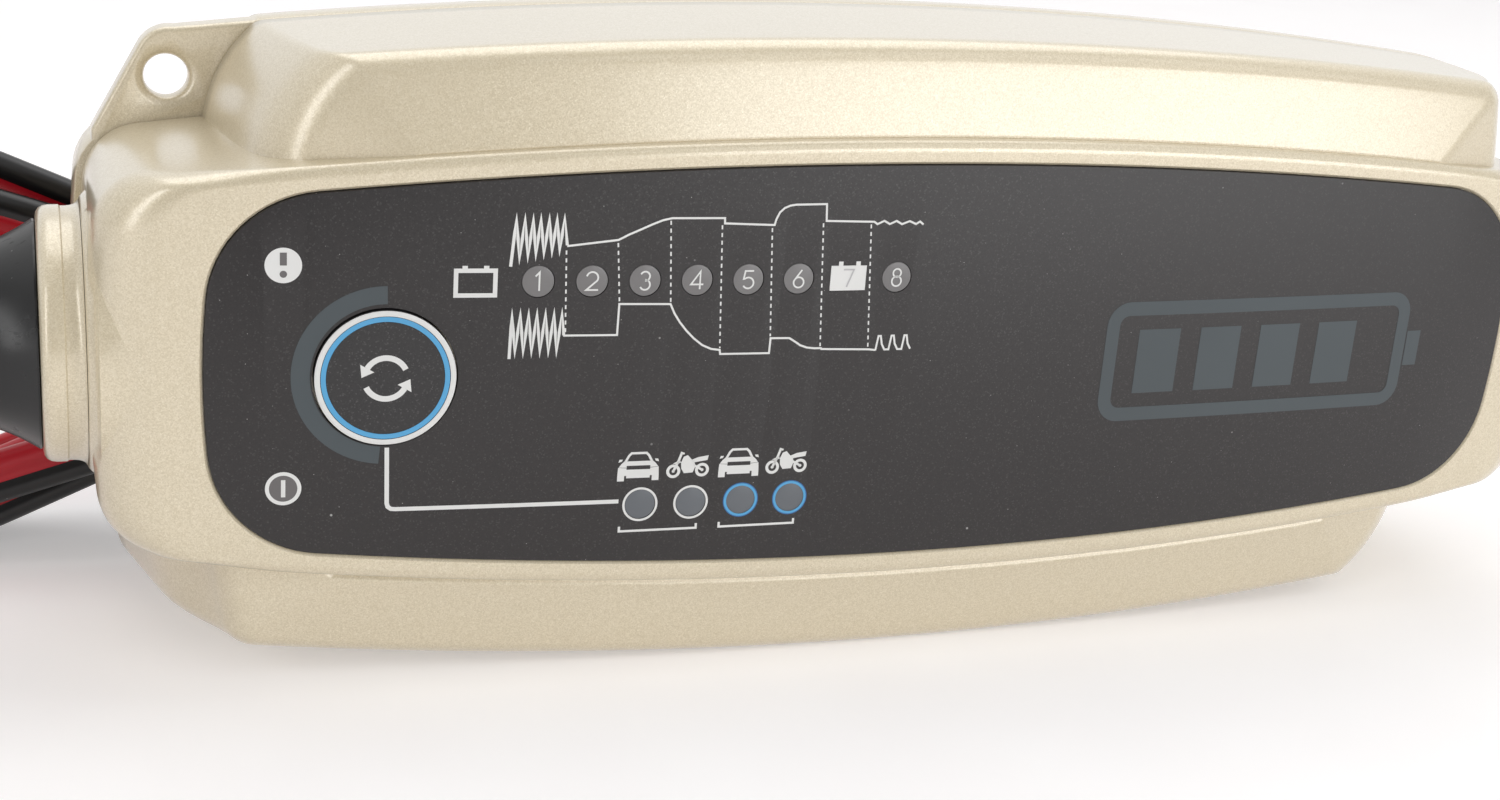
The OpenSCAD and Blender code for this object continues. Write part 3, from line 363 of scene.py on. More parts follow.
def fill_grain(tree, entry):
    """Moulded grain: two octaves of fine noise as a height, and one broad noise for a change of tone."""
    fine = add(tree, "ShaderNodeTexNoise", {"Vector": entry["Vector"], "Scale": entry["Cells"], "Detail": 3.0,
                                            "Roughness": 0.6})
    broad = add(tree, "ShaderNodeTexNoise", {"Vector": entry["Vector"], "Scale": 45.0, "Detail": 2.0})
    return fine.outputs["Fac"], ramp(tree, broad.outputs["Fac"], 0.3, 0.7)


GRAIN = group("moulded_grain", [("Vector", VECTOR, None), ("Cells", FLOAT, 2500.0)],
              [("Height", FLOAT), ("Tone", FLOAT)], fill_grain)


def fill_scuff(tree, entry):
    """Handling marks: thin stretched streaks kept where a broad noise is high."""
    run = add(tree, "ShaderNodeMapping", {0: entry["Vector"], "Rotation": (0.2, 0.1, 0.6),
                                          "Scale": (0.12, 1.0, 1.0)})
    lines = add(tree, "ShaderNodeTexNoise", {"Vector": run.outputs[0], "Scale": 1500.0, "Detail": 2.0})
    where = add(tree, "ShaderNodeTexNoise", {"Vector": entry["Vector"], "Scale": 60.0, "Detail": 1.0})
    kept = maths(tree, "MULTIPLY", ramp(tree, lines.outputs["Fac"], 0.6, 0.72),
                 ramp(tree, where.outputs["Fac"], 0.5, 0.65))
    return (maths(tree, "MULTIPLY", kept, entry["Amount"]),)


SCUFF = group("handling_marks", [("Vector", VECTOR, None), ("Amount", FLOAT, 0.3)],
              [("Mask", FLOAT)], fill_scuff)


def effect(tree, shared, vector, **values):
    """A shared effect placed in a material, with this material's own values."""
    node = add(tree, "ShaderNodeGroup", node_tree=shared)
    tree.links.new(vector, node.inputs["Vector"])
    for key, value in values.items():
        node.inputs[key].default_value = value
    return node


def blank(name):
    """A new material with its tree, its shader and the object's own coordinates."""
    material = bpy.data.materials.new(name)
    material.use_nodes = True
    tree = material.node_tree
    shader = tree.nodes["Principled BSDF"]
    return material, tree, shader, add(tree, "ShaderNodeTexCoord").outputs["Object"]


def wire(tree, shader, **links):
    """Links or values for the shader's inputs, whose names are written with _ for each space."""
    for key, value in links.items():
        name = key.replace("_", " ")
        if isinstance(value, bpy.types.NodeSocket):
            tree.links.new(value, shader.inputs[name])
        else:
            shader.inputs[name].default_value = value


def bumped(tree, height, strength, distance):
    node = add(tree, "ShaderNodeBump", {"Height": height, "Strength": strength, "Distance": distance})
    return node.outputs[0]


def darker(colour, share):
    """The colour with each of its channels kept to a share."""
    return tuple(c * share for c in colour[:3]) + (1,)


def moulded(name, colour, rough=0.45, cells=2500.0, depth=0.00002, marks=0.15, dusty=0.0, spread=0.12):
    """Moulded plastic or rubber: a base colour with a slow change of tone, fine grain, handling marks and
    dust."""
    material, tree, shader, at = blank(name)
    grain = effect(tree, GRAIN, at, Cells=cells)
    marked = effect(tree, SCUFF, at, Amount=marks)
    tone = mixed(tree, grain.outputs["Tone"], darker(colour, 1 - spread), colour)
    if dusty:
        specks = effect(tree, DUST, at, Cells=450.0, Amount=dusty)
        tone = mixed(tree, specks.outputs["Mask"], tone, srgb(196, 194, 192))
    roughness = maths(tree, "ADD", ramp(tree, grain.outputs["Tone"], 0, 1, rough - 0.04, rough + 0.04),
                      marked.outputs["Mask"], True)
    wire(tree, shader, Base_Color=tone, Roughness=roughness,
         Normal=bumped(tree, grain.outputs["Height"], 0.35, depth))
    return material


def metallic(name, colour, rough):
    """Plain metal with a fine grain and handling marks."""
    material, tree, shader, at = blank(name)
    grain = effect(tree, GRAIN, at, Cells=1800.0)
    marked = effect(tree, SCUFF, at, Amount=0.2)
    tone = mixed(tree, grain.outputs["Tone"], darker(colour, 0.85), colour)
    roughness = maths(tree, "ADD",
                      ramp(tree, grain.outputs["Height"], 0.3, 0.7, rough - 0.06, rough + 0.06),
                      marked.outputs["Mask"], True)
    wire(tree, shader, Base_Color=tone, Metallic=1.0, Roughness=roughness,
         Normal=bumped(tree, grain.outputs["Height"], 0.2, 0.00001))
    return material


def champagne_finish():
    """Satin champagne shell: a warm base crossed by fine metal flakes, each lying at its own slight lean, under
    a thin satin lacquer."""
    material, tree, shader, at = blank("champagne_shell")
    flake = effect(tree, FLAKE, at, Cells=8500.0, Lean=0.07)
    grain = effect(tree, GRAIN, at, Cells=1800.0)
    marked = effect(tree, SCUFF, at, Amount=0.06)
    base = mixed(tree, flake.outputs["Level"], srgb(207, 193, 163), srgb(226, 214, 188))
    base = mixed(tree, maths(tree, "MULTIPLY", flake.outputs["Bright"], 0.35), base, srgb(242, 234, 214))
    base = mixed(tree, maths(tree, "MULTIPLY", grain.outputs["Tone"], 0.05), base, srgb(190, 177, 150))
    metal = ramp(tree, flake.outputs["Level"], 0.2, 1.0, 0.12, 0.28)
    rough = maths(tree, "ADD", ramp(tree, grain.outputs["Height"], 0.3, 0.7, 0.33, 0.39),
                  marked.outputs["Mask"], True)
    wire(tree, shader, Base_Color=base, Metallic=metal, Roughness=rough, Normal=flake.outputs["Normal"])
    wire(tree, shader, Coat_Weight=1.0, Coat_Roughness=0.2, Coat_IOR=1.65)
    return material


def film_finish(name, low, high, sparkle, dusty):
    """Printed charcoal film with a satin face: dark cells with a few brighter ones, and dust on top."""
    material, tree, shader, at = blank(name)
    flake = effect(tree, FLAKE, at, Cells=7500.0, Lean=0.06)
    specks = effect(tree, DUST, at, Cells=320.0, Amount=dusty)
    base = mixed(tree, flake.outputs["Level"], low, high)
    base = mixed(tree, maths(tree, "MULTIPLY", flake.outputs["Bright"], sparkle), base, srgb(120, 116, 116))
    base = mixed(tree, specks.outputs["Mask"], base, srgb(224, 222, 220))
    rough = maths(tree, "ADD", 0.47, maths(tree, "MULTIPLY", specks.outputs["Mask"], 0.4), True)
    wire(tree, shader, Base_Color=base, Roughness=rough, Normal=flake.outputs["Normal"],
         Specular_IOR_Level=0.66)
    return material


def ink(name, colour, rough=0.4):
    """Printed ink: nearly even, with a faint change of tone and a fine tooth."""
    return moulded(name, colour, rough=rough, cells=3500.0, depth=0.000004, marks=0.05, spread=0.06)


def laminate_finish():
    """Circuit board: solder-mask green with darker tracks where a grid of lines lies under it."""
    material, tree, shader, at = blank("board_laminate")
    grain = effect(tree, GRAIN, at, Cells=1200.0)
    flat = add(tree, "ShaderNodeMapping", {0: at, "Rotation": (math.pi / 2, 0, 0)})
    brick = add(tree, "ShaderNodeTexBrick", {
        "Vector": flat.outputs[0], "Color1": (0, 0, 0, 1), "Color2": (0, 0, 0, 1), "Mortar": (1, 1, 1, 1),
        "Scale": 160.0, "Mortar Size": 0.03, "Brick Width": 0.9, "Row Height": 0.34})
    base = mixed(tree, brick.outputs["Fac"], srgb(26, 92, 58), srgb(44, 122, 78))
    base = mixed(tree, maths(tree, "MULTIPLY", grain.outputs["Tone"], 0.3), base, srgb(18, 74, 46))
    wire(tree, shader, Base_Color=base, Roughness=ramp(tree, grain.outputs["Height"], 0.3, 0.7, 0.25, 0.4),
         Normal=bumped(tree, brick.outputs["Fac"], 0.3, 0.00003))
    return material


def wound_finish(name, colour, groove, pitch):
    """Wire or tape wound round: even waves along one direction bump the turns and paint shade into the gaps
    between them.
    """
    material, tree, shader, at = blank(name)
    wave = add(tree, "ShaderNodeTexWave", {"Vector": at, "Scale": pitch, "Distortion": 0.6, "Detail": 1.0},
               bands_direction="Y")
    grain = effect(tree, GRAIN, at, Cells=1500.0)
    # painted shade: the gaps between turns take the darker groove colour, which stands for the shade that falls
    # there
    base = mixed(tree, ramp(tree, wave.outputs["Fac"], 0.1, 0.6), groove, colour)
    wire(tree, shader, Base_Color=base, Roughness=ramp(tree, grain.outputs["Tone"], 0, 1, 0.28, 0.4),
         Normal=bumped(tree, wave.outputs["Fac"], 0.6, 0.0001))
    return material


def window_finish(name, colour, rough=0.35):
    """Milky light guide: a little light goes into it, and its face has a fine satin tooth."""
    material, tree, shader, at = blank(name)
    grain = effect(tree, GRAIN, at, Cells=3000.0)
    base = mixed(tree, grain.outputs["Tone"], darker(colour, 0.9), colour)
    wire(tree, shader, Base_Color=base, Roughness=rough, Subsurface_Weight=0.15, Subsurface_Scale=0.001,
         Subsurface_Radius=(1, 1, 1), Normal=bumped(tree, grain.outputs["Height"], 0.15, 0.00001))
    return material


SHELL = champagne_finish()
FILM = film_finish("charcoal_film", srgb(17, 12, 12), srgb(28, 22, 22), 0.12, 0.5)
CAP_FILM = film_finish("button_film", srgb(22, 20, 21), srgb(32, 30, 31), 0.2, 0.6)
WHITE_INK = ink("white_ink", srgb(226, 226, 224))
GREY_INK = ink("grey_ink", srgb(104, 101, 101))
PALE_INK = ink("pale_ink", srgb(186, 184, 186))
SLATE_INK = ink("slate_ink", srgb(70, 78, 82), 0.38)
BLUE_INK = ink("light_blue_ink", srgb(88, 166, 214))
DEEP_BLUE_INK = ink("deep_blue_ink", srgb(54, 108, 166))
GREY_WINDOW = window_finish("grey_window", srgb(122, 120, 120))
WHITE_WINDOW = window_finish("white_window", srgb(224, 224, 224))
BLUE_WINDOW = window_finish("blue_window", srgb(104, 108, 113))
RUBBER = moulded("black_rubber", srgb(12, 12, 13), rough=0.3, cells=1600.0, dusty=0.6, marks=0.2)
BLACK_LEAD = moulded("black_lead_skin", srgb(24, 23, 24), rough=0.38, cells=1800.0, dusty=0.35)
RED_LEAD = moulded("red_lead_skin", srgb(196, 26, 42), rough=0.36, cells=1800.0, dusty=0.15)
BLACK_PLASTIC = moulded("black_plastic", srgb(26, 26, 28), rough=0.42, cells=1400.0)
GREY_PLASTIC = moulded("grey_plastic", srgb(84, 84, 88), rough=0.5)
PALE_PLASTIC = moulded("pale_plastic", srgb(214, 214, 206), rough=0.45)
STEEL = metallic("zinc_steel", srgb(176, 176, 180), 0.3)
BRASS = metallic("contact_brass", srgb(206, 176, 104), 0.25)
SEAL = moulded("seal_rubber", srgb(20, 20, 20), rough=0.7)
NODE_FINISH = {
    "seam_gasket": SEAL, "button_plunger": PALE_PLASTIC, "switch_stem": BLACK_PLASTIC, "switch_case": STEEL,
    "number_windows": GREY_WINDOW, "mode_windows": BLUE_WINDOW, "alert_windows": WHITE_WINDOW,
    "indicator_lights": window_finish("light_resin", srgb(236, 226, 170), 0.2),
    "control_board": laminate_finish(), "controller_chip": BLACK_PLASTIC, "board_link": BRASS,
    "control_screws": STEEL, "power_screws": STEEL, "transistor_screws": STEEL, "wire_terminals": STEEL,
    "transformer_core": moulded("ferrite", srgb(52, 52, 56), rough=0.6, cells=900.0, depth=0.00005),
    # each winding takes its own colour, then a darker colour painted as the shade in the gaps between its turns
    "transformer_winding": wound_finish("winding_tape", srgb(222, 190, 60), srgb(160, 128, 30), 900.0),
    "filter_choke": wound_finish("copper_winding", srgb(190, 104, 56), srgb(80, 34, 16), 1400.0),
    "bulk_capacitor": moulded("capacitor_sleeve", srgb(30, 44, 84), rough=0.25),
    "film_capacitor": moulded("film_resin", srgb(206, 170, 52), rough=0.35),
    "heat_sink": metallic("sink_aluminium", srgb(196, 198, 202), 0.35),
    "power_transistors": BLACK_PLASTIC,
    "fuse": moulded("ceramic_tube", srgb(226, 222, 210), rough=0.3, cells=1500.0),
    "varistor": moulded("varistor_epoxy", srgb(46, 84, 150), rough=0.35, cells=900.0, depth=0.00006),
    "output_wire_red": RED_LEAD, "output_wire_black": BLACK_LEAD,
    "mains_wire_live": moulded("brown_wire", srgb(98, 56, 30), rough=0.4),
    "mains_wire_neutral": moulded("blue_wire", srgb(30, 66, 150), rough=0.4),
    "boot_clamp": GREY_PLASTIC, "gland_clamp": GREY_PLASTIC, "mains_gland": RUBBER,
    "rating_plate": moulded("plate_film", srgb(204, 202, 196), rough=0.4, cells=3000.0, depth=0.000006),
    "connector_contacts": BRASS,
}
NODE_FINISH["power_board"] = NODE_FINISH["control_board"]
NODE_FINISH["output_choke"] = NODE_FINISH["filter_choke"]
NODE_FINISH["output_capacitors"] = NODE_FINISH["bulk_capacitor"]
for name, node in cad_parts.items():
    node.data.materials.clear()
    node.data.materials.append(NODE_FINISH.get(name, BLACK_PLASTIC))


# ---- outlines ---------------------------------------------------------------------------------------------

def quarter(hw, hl, rs, re, rc, bz=0.0, steps=(40, 10, 8)):
    """A quarter outline of three arcs that touch: the side (radius rs, centre (0, hw - rs)), the corner (radius
    rc) and the end (radius re, centre (hl - re, bz)). The corner's centre lies rs - rc and re - rc from the
    other two."""
    a, b = np.array([0, hw - rs]), np.array([hl - re, bz])
    d = b - a
    n = np.hypot(*d)
    t = ((rs - rc)**2 - (re - rc)**2 + n * n) / (2 * n)
    c = a + d / n * t + np.array([d[1], -d[0]]) / n * math.sqrt((rs - rc)**2 - t * t)
    a1, a2 = math.atan2(*(c - a)[::-1]), math.atan2(*(c - b)[::-1])
    arcs = ((a, rs, math.pi / 2, a1), (c, rc, a1, a2), (b, re, a2, 0))
    return np.vstack([centre + r * np.column_stack([np.cos(angle), np.sin(angle)])
                      for (centre, r, start, end), m, skip in zip(arcs, steps, (0, 1, 1))
                      for angle in [np.linspace(start, end, m + 1)[skip:]]])


def whole(q):
    """A quarter outline mirrored to all four quarters, from the left end over the top and back."""
    upper = np.vstack([q[:0:-1] * [-1, 1], q])
    return np.vstack([upper, upper[-2:0:-1] * [1, -1]])


def bow(x):
    """Depth of the bowed front: it falls back with the square of the distance from the middle."""
    return np.asarray(x, float)**2 / (2 * FRONT_R)


def ring(outline, y, bowed=1.0):
    """An outline in x and z set at a depth that follows the bowed front."""
    return np.column_stack([outline[:, 0], y + bowed * bow(outline[:, 0]), outline[:, 1]])


def block(inset, end_inset, lip=0.0, steps=(40, 10, 8)):
    """The middle block's outline, drawn in along its sides and its ends."""
    return whole(quarter(BLOCK_HW - inset, BLOCK_HALF + lip - end_inset, SIDE_R - inset, END_R - end_inset,
                         BLOCK_CORNER - min(inset, BLOCK_CORNER - 1), 0.0, steps))


def panel(inset):
    """The panel's outline, drawn in all round."""
    return whole(quarter(PANEL_HW - inset, PANEL_HALF - inset, SIDE_R - inset, PANEL_END_R - inset,
                         PANEL_CORNER - inset, 0.0, (48, 16, 12)))


def shortening(knots):
    """How much shorter a swollen side is by depth: a smooth curve through knots of depth and length."""
    line = smooth_through(knots, 0.05)
    return lambda y: float(np.interp(y, line[:, 0], line[:, 1]))


CUT_BACK = shortening([(-3, 7.6), (0.5, 7.2), (2, 6.5), (4, 5.2), (6.5, 3.5), (9, 2.75), (14, 1.8), (21, 0.85),
                       (SPLIT_Y, 0)])
FULL_BACK = shortening([(-3, 10.6), (0.5, 10.2), (3, 9.8), (5.4, 9.1), (8, 7.7), (10.3, 6.1), (14, 4.2),
                        (22, 2.2), (SPLIT_Y, 0.7)])


def side_line(inset, y, steps=(40, 8, 12)):
    """A swollen side's outline: from its cut end, over the long bowed side, to its full end near the block's
    end. Its heights are measured from the case's own middle; the lower side is the same, turned half round."""
    hw, rc = HALF_W - inset, max(0.5, SIDE_CORNER - inset)
    cut = quarter(hw, SIDE_HALF - inset - CUT_BACK(y), SIDE_R - inset, SIDE_END_R - inset, rc, SIDE_END_Z,
                  steps)
    full = quarter(hw, BLOCK_HALF - FULL_END_IN - inset - FULL_BACK(y), SIDE_R - inset, END_R - inset,
                   rc + 0.8, 0.0, steps)
    foot = inset / 4 - 3
    return np.vstack([[[-cut[-1, 0], foot]], cut[:0:-1] * [-1, 1], full, [[full[-1, 0], foot]]])


def skin(rings, even=False):
    """A closed solid over rings of equal numbers of points. Its caps are strips between a ring's two halves:
    for an open outline the halves meet at its foot, and for a whole one (even) each strip joins a point to the
    one straight below it."""
    rings = np.asarray(rings)
    m, n = rings.shape[:2]
    i = np.arange(n // 2 if even else (n - 1) // 2)
    last = (n - i) % n if even else n - 1 - i
    cap = np.column_stack([i, i + 1, (n - 1 if even else n - 2) - i, last]).tolist()
    cap = [f for f in (tuple(dict.fromkeys(f)) for f in cap) if len(f) > 2]
    faces = grid_faces(m, n).tolist() + [f[::-1] for f in cap]
    return rings.reshape(-1, 3), faces + [tuple(k + (m - 1) * n for k in f) for f in cap]


DROP = np.array([0, 0, -PANEL_LIFT])


def twin(solid):
    """A swollen side and its twin, the same turned half round, their heights carried to the panel's middle."""
    points, faces = solid
    return (points + DROP, faces), (points * [-1, 1, -1] + DROP, faces)


EDGE_DEEPENS, EDGE_RUN = 62.3, 14
EDGE_ALONG, EDGE_AT_END = (1.2, 0.9), (6.6, 5.4)


def edge_depth(x):
    """Depth of the block's rounded front edge: slight along the sides, deeper towards the two ends by the
    square of the way along."""
    s = np.clip((np.abs(x) - EDGE_DEEPENS) / EDGE_RUN, 0, 1)
    return EDGE_ALONG[1] + (EDGE_AT_END[1] - EDGE_ALONG[1]) * s * s


def front_block(inside, y_end, turns=10, steps=(40, 10, 8)):
    """The front shell's middle block, or its hollow when drawn inside: a quarter turn of a round edge that is
    broader at the ends, then straight back."""
    rings = []
    for a in np.linspace(0, math.pi / 2, turns):
        k, d = 1 - math.sin(a), 1 - math.cos(a)
        q = block(inside + EDGE_ALONG[0] * k, inside + EDGE_AT_END[0] * k, 0.0, steps)
        rings.append(np.column_stack([q[:, 0], inside + bow(q[:, 0]) + edge_depth(q[:, 0]) * d, q[:, 1]]))
    rings.append(ring(block(inside, inside, 0.0, steps), y_end, 0))
    return skin(rings, even=True)


RIDGE_Y, RIDGE_R = 5.418, 2.5
GROOVE = [(10.5, 1.75), (9.45, 1.6), (9.15, 1.38)]


def front_side(inside, y_end, turns=9, flats=12, steps=(40, 8, 12)):
    """A swollen side: a shallow groove where it meets the block, the slope, a rounded ridge and the flat side,
    whose bow fades out evenly towards the joint."""
    profile = [(min(12.2, 13.1 - inside), 3.2), *GROOVE]
    profile += [(d, 3.455 - 0.24 * d) for d in (8.9, 8.7, 7.5, 6.0, 4.5, 3.0, 1.95)]
    profile += [(RIDGE_R - RIDGE_R * math.cos(a), RIDGE_Y + RIDGE_R * math.sin(a))
                for a in np.radians(np.linspace(-76.5, 0, turns))[1:]]
    profile += [(0, RIDGE_Y + (y_end - 0.35 - RIDGE_Y) * k**1.3) for k in np.linspace(0, 1, flats)[1:]]
    rings = []
    for inset, y in profile:
        fade = max(0, 1 - max(0.0, (y - RIDGE_Y) / (SPLIT_Y - RIDGE_Y)))
        line = side_line(inset + inside, min(y, SPLIT_Y), steps)
        rings.append(ring(line, y + (inside if y < 20 else 0), fade))
    for inset, y in ((0.1, y_end - 0.1), (0.3, y_end)) if not inside else ((0, y_end),):
        rings.append(ring(side_line(inset + inside, SPLIT_Y, steps), y, 0))
    return skin(rings)


def back_rings(outline, inside, r, turns):
    """Rings of a part of the back shell, or of its hollow when drawn inside: a fine round at the joint,
    straight back, and a quarter turn of radius r. outline(d) gives its outline drawn in by d."""
    start = SPLIT_Y + SEAM_GAP if not inside else SPLIT_Y - 1
    rows = [(0.3, start), (0.09, start + 0.09), (0, start + 0.3)] if not inside else [(0, start)]
    rings = [ring(outline(inside + d), y, 0) for d, y in rows]
    for a in np.linspace(math.pi / 2, 0, turns):
        rings.append(ring(outline(inside + r * (1 - math.sin(a))), BODY_D - inside - r * (1 - math.cos(a)), 0))
    return rings


def back_block(inside, steps=(40, 10, 8)):
    return skin(back_rings(lambda d: block(d, d, END_LIP, steps), inside, 3.0, 9), even=True)


def back_side(inside, steps=(40, 8, 12)):
    return skin(back_rings(lambda d: side_line(d, SPLIT_Y, steps), inside, 6.5, 10))


BUTTON_TURN = math.atan(BUTTON_X / FRONT_R)
BUTTON_AXIS = np.array([-math.sin(BUTTON_TURN), math.cos(BUTTON_TURN), 0.0])
BUTTON_SEAT = np.array([BUTTON_X, float(bow(BUTTON_X)), 0.0])
NUMBERS = [(WINDOW_X + i * WINDOW_PITCH, WINDOW_Z) for i in range(8)]
MODES = [(MODE_X + i * MODE_PITCH, MODE_Z) for i in range(4)]
ALERTS = [(ALERT_X, ALERT_Z), (ALERT_X, -ALERT_Z)]
ROUND_WINDOWS = NUMBERS[:6] + NUMBERS[7:] + MODES + ALERTS
CELL_HALF = (1.86, 1.26)


def window_tools(y0, y1, grow):
    """Cutters for the round windows and for the battery-shaped one."""
    rounds = [bar(x, z, y0, y1, WINDOW_R + grow, 40) for x, z in ROUND_WINDOWS]
    (x, z), a, b = NUMBERS[6], CELL_HALF[0] + grow, CELL_HALF[1] + grow
    cell = [(x - a, z - b), (x - a, z + b), (x + a, z + b), (x + a, z - b)]
    return joined(*rounds, slab(cell, y0, y1))


def button_bore(r, depth, start=-3.0):
    """A cutter along the button's own axis."""
    return turned([(0, start), (r, start), (r, depth), (0, depth)], BUTTON_SEAT, BUTTON_AXIS, 96)


def mirrored(solid, sx, sz=1):
    """A solid's mirror image, its faces turned to stay outwards."""
    points, faces = solid
    flip = sx * sz < 0
    return points * [sx, 1, sz], [tuple(f)[::-1] if flip else tuple(f) for f in faces]


BOSSES = [(sx * SCREW_X, sz * SCREW_Z) for sx in (-1, 1) for sz in (-1, 1)]
BOSS_R, BOSS_BORE_R, POST_R, POST_BORE_R = 3.3, 1.25, 2.2, 0.9
BACK_BOSS_R, BACK_POST_R, BACK_POST_BORE_R = 3.9, 2.6, 1.1
POSTS = [(-67, 4.6), (-67, -4.6), (-3, 14.2), (-3, -14.2)]
NECK = [(0, 76), (14.6, 76), (14.6, 80.2), (14.1, 80.32), (13.6, 80.62), (13.2, 81.0), (13.0, 81.15),
        (12.85, BLOCK_HALF), (0, BLOCK_HALF)]
GUIDE_END = CONTROL_Y - GUIDE_SETBACK
COARSE = (16, 4, 4)
neck = turned(NECK, (0, OUTLET_Y, 0), (1, 0, 0), 128)
inner_sides = twin(front_side(WALL, SPLIT_Y + 2, 4, 5, COARSE))
pocket = skin([ring(panel(-0.34), y) for y in (-4.0, -0.02)]
              + [ring(panel(-0.08), y) for y in (0.26, PANEL_T)], even=True)
shape = carved(
    "front_shell_shape", front_block(0.0, SPLIT_Y),
    *(("UNION", solid) for solid in twin(front_side(0.0, SPLIT_Y))),
    ("UNION", neck), ("UNION", mirrored(neck, -1)),
    ("DIFFERENCE", front_block(WALL, SPLIT_Y + 2, 4, COARSE)),
    *(("DIFFERENCE", solid) for solid in inner_sides),
    ("UNION", joined(*(bar(x, z, WALL + bow(x) - 0.6, SPLIT_Y, BOSS_R) for x, z in BOSSES),
                     *(bar(x, z, WALL + bow(x) - 0.6, CONTROL_Y, POST_R) for x, z in POSTS))),
    ("DIFFERENCE", pocket), ("DIFFERENCE", window_tools(-3.0, GUIDE_END, 0.1)),
    ("DIFFERENCE", button_bore(BUTTON_R + BUTTON_GAP, PANEL_T + 0.65)),
    ("DIFFERENCE", button_bore(2.3, WALL + 2, 0.5)),
    ("DIFFERENCE", joined(bar_x(BLOCK_HALF - 9, BLOCK_HALF + 3, OUTLET_R),
                          bar_x(-BLOCK_HALF - 3, 9 - BLOCK_HALF, OUTLET_R))),
    ("DIFFERENCE", joined(*(bar(x, z, SPLIT_Y - 16, SPLIT_Y + 1, BOSS_BORE_R, 20) for x, z in BOSSES),
                          *(bar(x, z, CONTROL_Y - 2.8, CONTROL_Y + 1, POST_BORE_R, 20) for x, z in POSTS))))
dressed("front_shell_skin", shape, SHELL, nodes=("front_shell",))


# ---- back shell -------------------------------------------------------------------------------------------

def lug_outline():
    """A lug's outline about the case's own middle: a flat ear, one side slanting, a corner over its hole."""
    t = np.radians(np.linspace(96, 26, 14))
    corner = np.column_stack([LUG_X - 0.5 + 3.5 * np.cos(t), LUG_Z + 1.4 + 3.5 * np.sin(t)])
    return np.vstack([[(SIDE_HALF - 6, 15), (SIDE_HALF - 6, HALF_W - 3.3)], corner,
                      [(BLOCK_HALF - 1.6, BLOCK_HW - 5), (BLOCK_HALF - 1.6, 15)]])


LUG_FRONT = SPLIT_Y + SEAM_GAP
LUG_PLACES = [(-LUG_X, LUG_Z - PANEL_LIFT), (LUG_X, -LUG_Z - PANEL_LIFT)]
POWER_Y, BOARD_T = 30.6, 1.6
POWER_POSTS = [(-51, 18), (-51, -18), (51, 18), (51, -18)]
LUG_BACK = LUG_FRONT + LUG_T
LUG_BORE = [(0, 27), (3.4, 27), (3.05, LUG_FRONT), (2.6, LUG_FRONT + 0.16), (2.3, LUG_FRONT + 0.45),
            (LUG_HOLE_R, LUG_FRONT + 0.85), (LUG_HOLE_R, LUG_BACK - 0.3), (2.5, LUG_BACK), (2.5, 33), (0, 33)]
SCREW_WELL = [(0, 27), (1.7, 27), (1.7, 33.4), (3.1, 33.4), (3.1, 37.7), (3.5, 38.1), (3.5, 39), (0, 39)]
PLATE_X, PLATE_Z, PLATE_CORNER = 36, 16.5, 2.15
PLATE = [(sx * PLATE_X + PLATE_CORNER * math.cos(t), sz * PLATE_Z + PLATE_CORNER * math.sin(t))
         for sx, sz, start in ((1, 1, 0), (-1, 1, 90), (-1, -1, 180), (1, -1, 270))
         for t in np.radians(np.linspace(start, start + 90, 7))]
lug = slab(lug_outline(), LUG_FRONT, LUG_BACK, 0.5, 5)
lugs = joined(*((points + DROP, faces) for points, faces in (mirrored(lug, -1), mirrored(lug, 1, -1))))
shape = carved(
    "back_shell_shape", back_block(0.0),
    *(("UNION", solid) for solid in twin(back_side(0.0))),
    ("UNION", lugs),
    ("DIFFERENCE", back_block(WALL, COARSE)),
    *(("DIFFERENCE", solid) for solid in twin(back_side(WALL, COARSE))),
    ("UNION", joined(*(bar(x, z, LUG_FRONT, BODY_D - 0.6, BACK_BOSS_R) for x, z in BOSSES),
                     *(bar(x, z, POWER_Y + BOARD_T, BODY_D - 0.6, BACK_POST_R) for x, z in POWER_POSTS))),
    ("DIFFERENCE", joined(*(turned(LUG_BORE, (x, 0, z), (0, 1, 0), 64) for x, z in LUG_PLACES))),
    ("DIFFERENCE", joined(*(turned(SCREW_WELL, (x, 0, z), (0, 1, 0), 40) for x, z in BOSSES),
                          *(bar(x, z, POWER_Y, POWER_Y + BOARD_T + 3.5, BACK_POST_BORE_R, 20)
                            for x, z in POWER_POSTS))),
    ("DIFFERENCE", joined(bar_x(BLOCK_HALF, BLOCK_HALF + 5, COLLAR_R + 0.3),
                          bar_x(-BLOCK_HALF - 5, -BLOCK_HALF, COLLAR_R + 0.3))),
    ("DIFFERENCE", slab(PLATE, BODY_D - 0.3, BODY_D + 1)))
dressed("back_shell_skin", shape, SHELL, nodes=("back_shell",))


# ---- panel and print --------------------------------------------------------------------------------------

PANEL_EDGE = ((0.14, 0), (0.05, 0.03), (0, 0.12), (0, PANEL_T - 0.02))
shape = carved("panel_film_shape", skin([ring(panel(d), y) for d, y in PANEL_EDGE], even=True),
               ("DIFFERENCE", window_tools(-3.0, 6.0, 0.04)),
               ("DIFFERENCE", button_bore(BUTTON_R + BUTTON_GAP, 6.0)))
dressed("panel_film", shape, FILM, nodes=("panel_overlay",))


def guide(x, z):
    """A light guide: a round bar with a just rounded edge, whose face follows the bow."""
    p, f = turned([(0, 0), (WINDOW_R - 0.12, 0), (WINDOW_R - 0.04, 0.03), (WINDOW_R, 0.12),
                   (WINDOW_R, GUIDE_END), (0, GUIDE_END)], (x, 0, z), (0, 1, 0), 48)
    p[:, 1] += bow(p[:, 0]) * (p[:, 1] < 1)
    return p, f


def windows(name, node, material, *solids):
    dressed(name, mesh_of(name, *joined(*solids)), material, nodes=(node,))


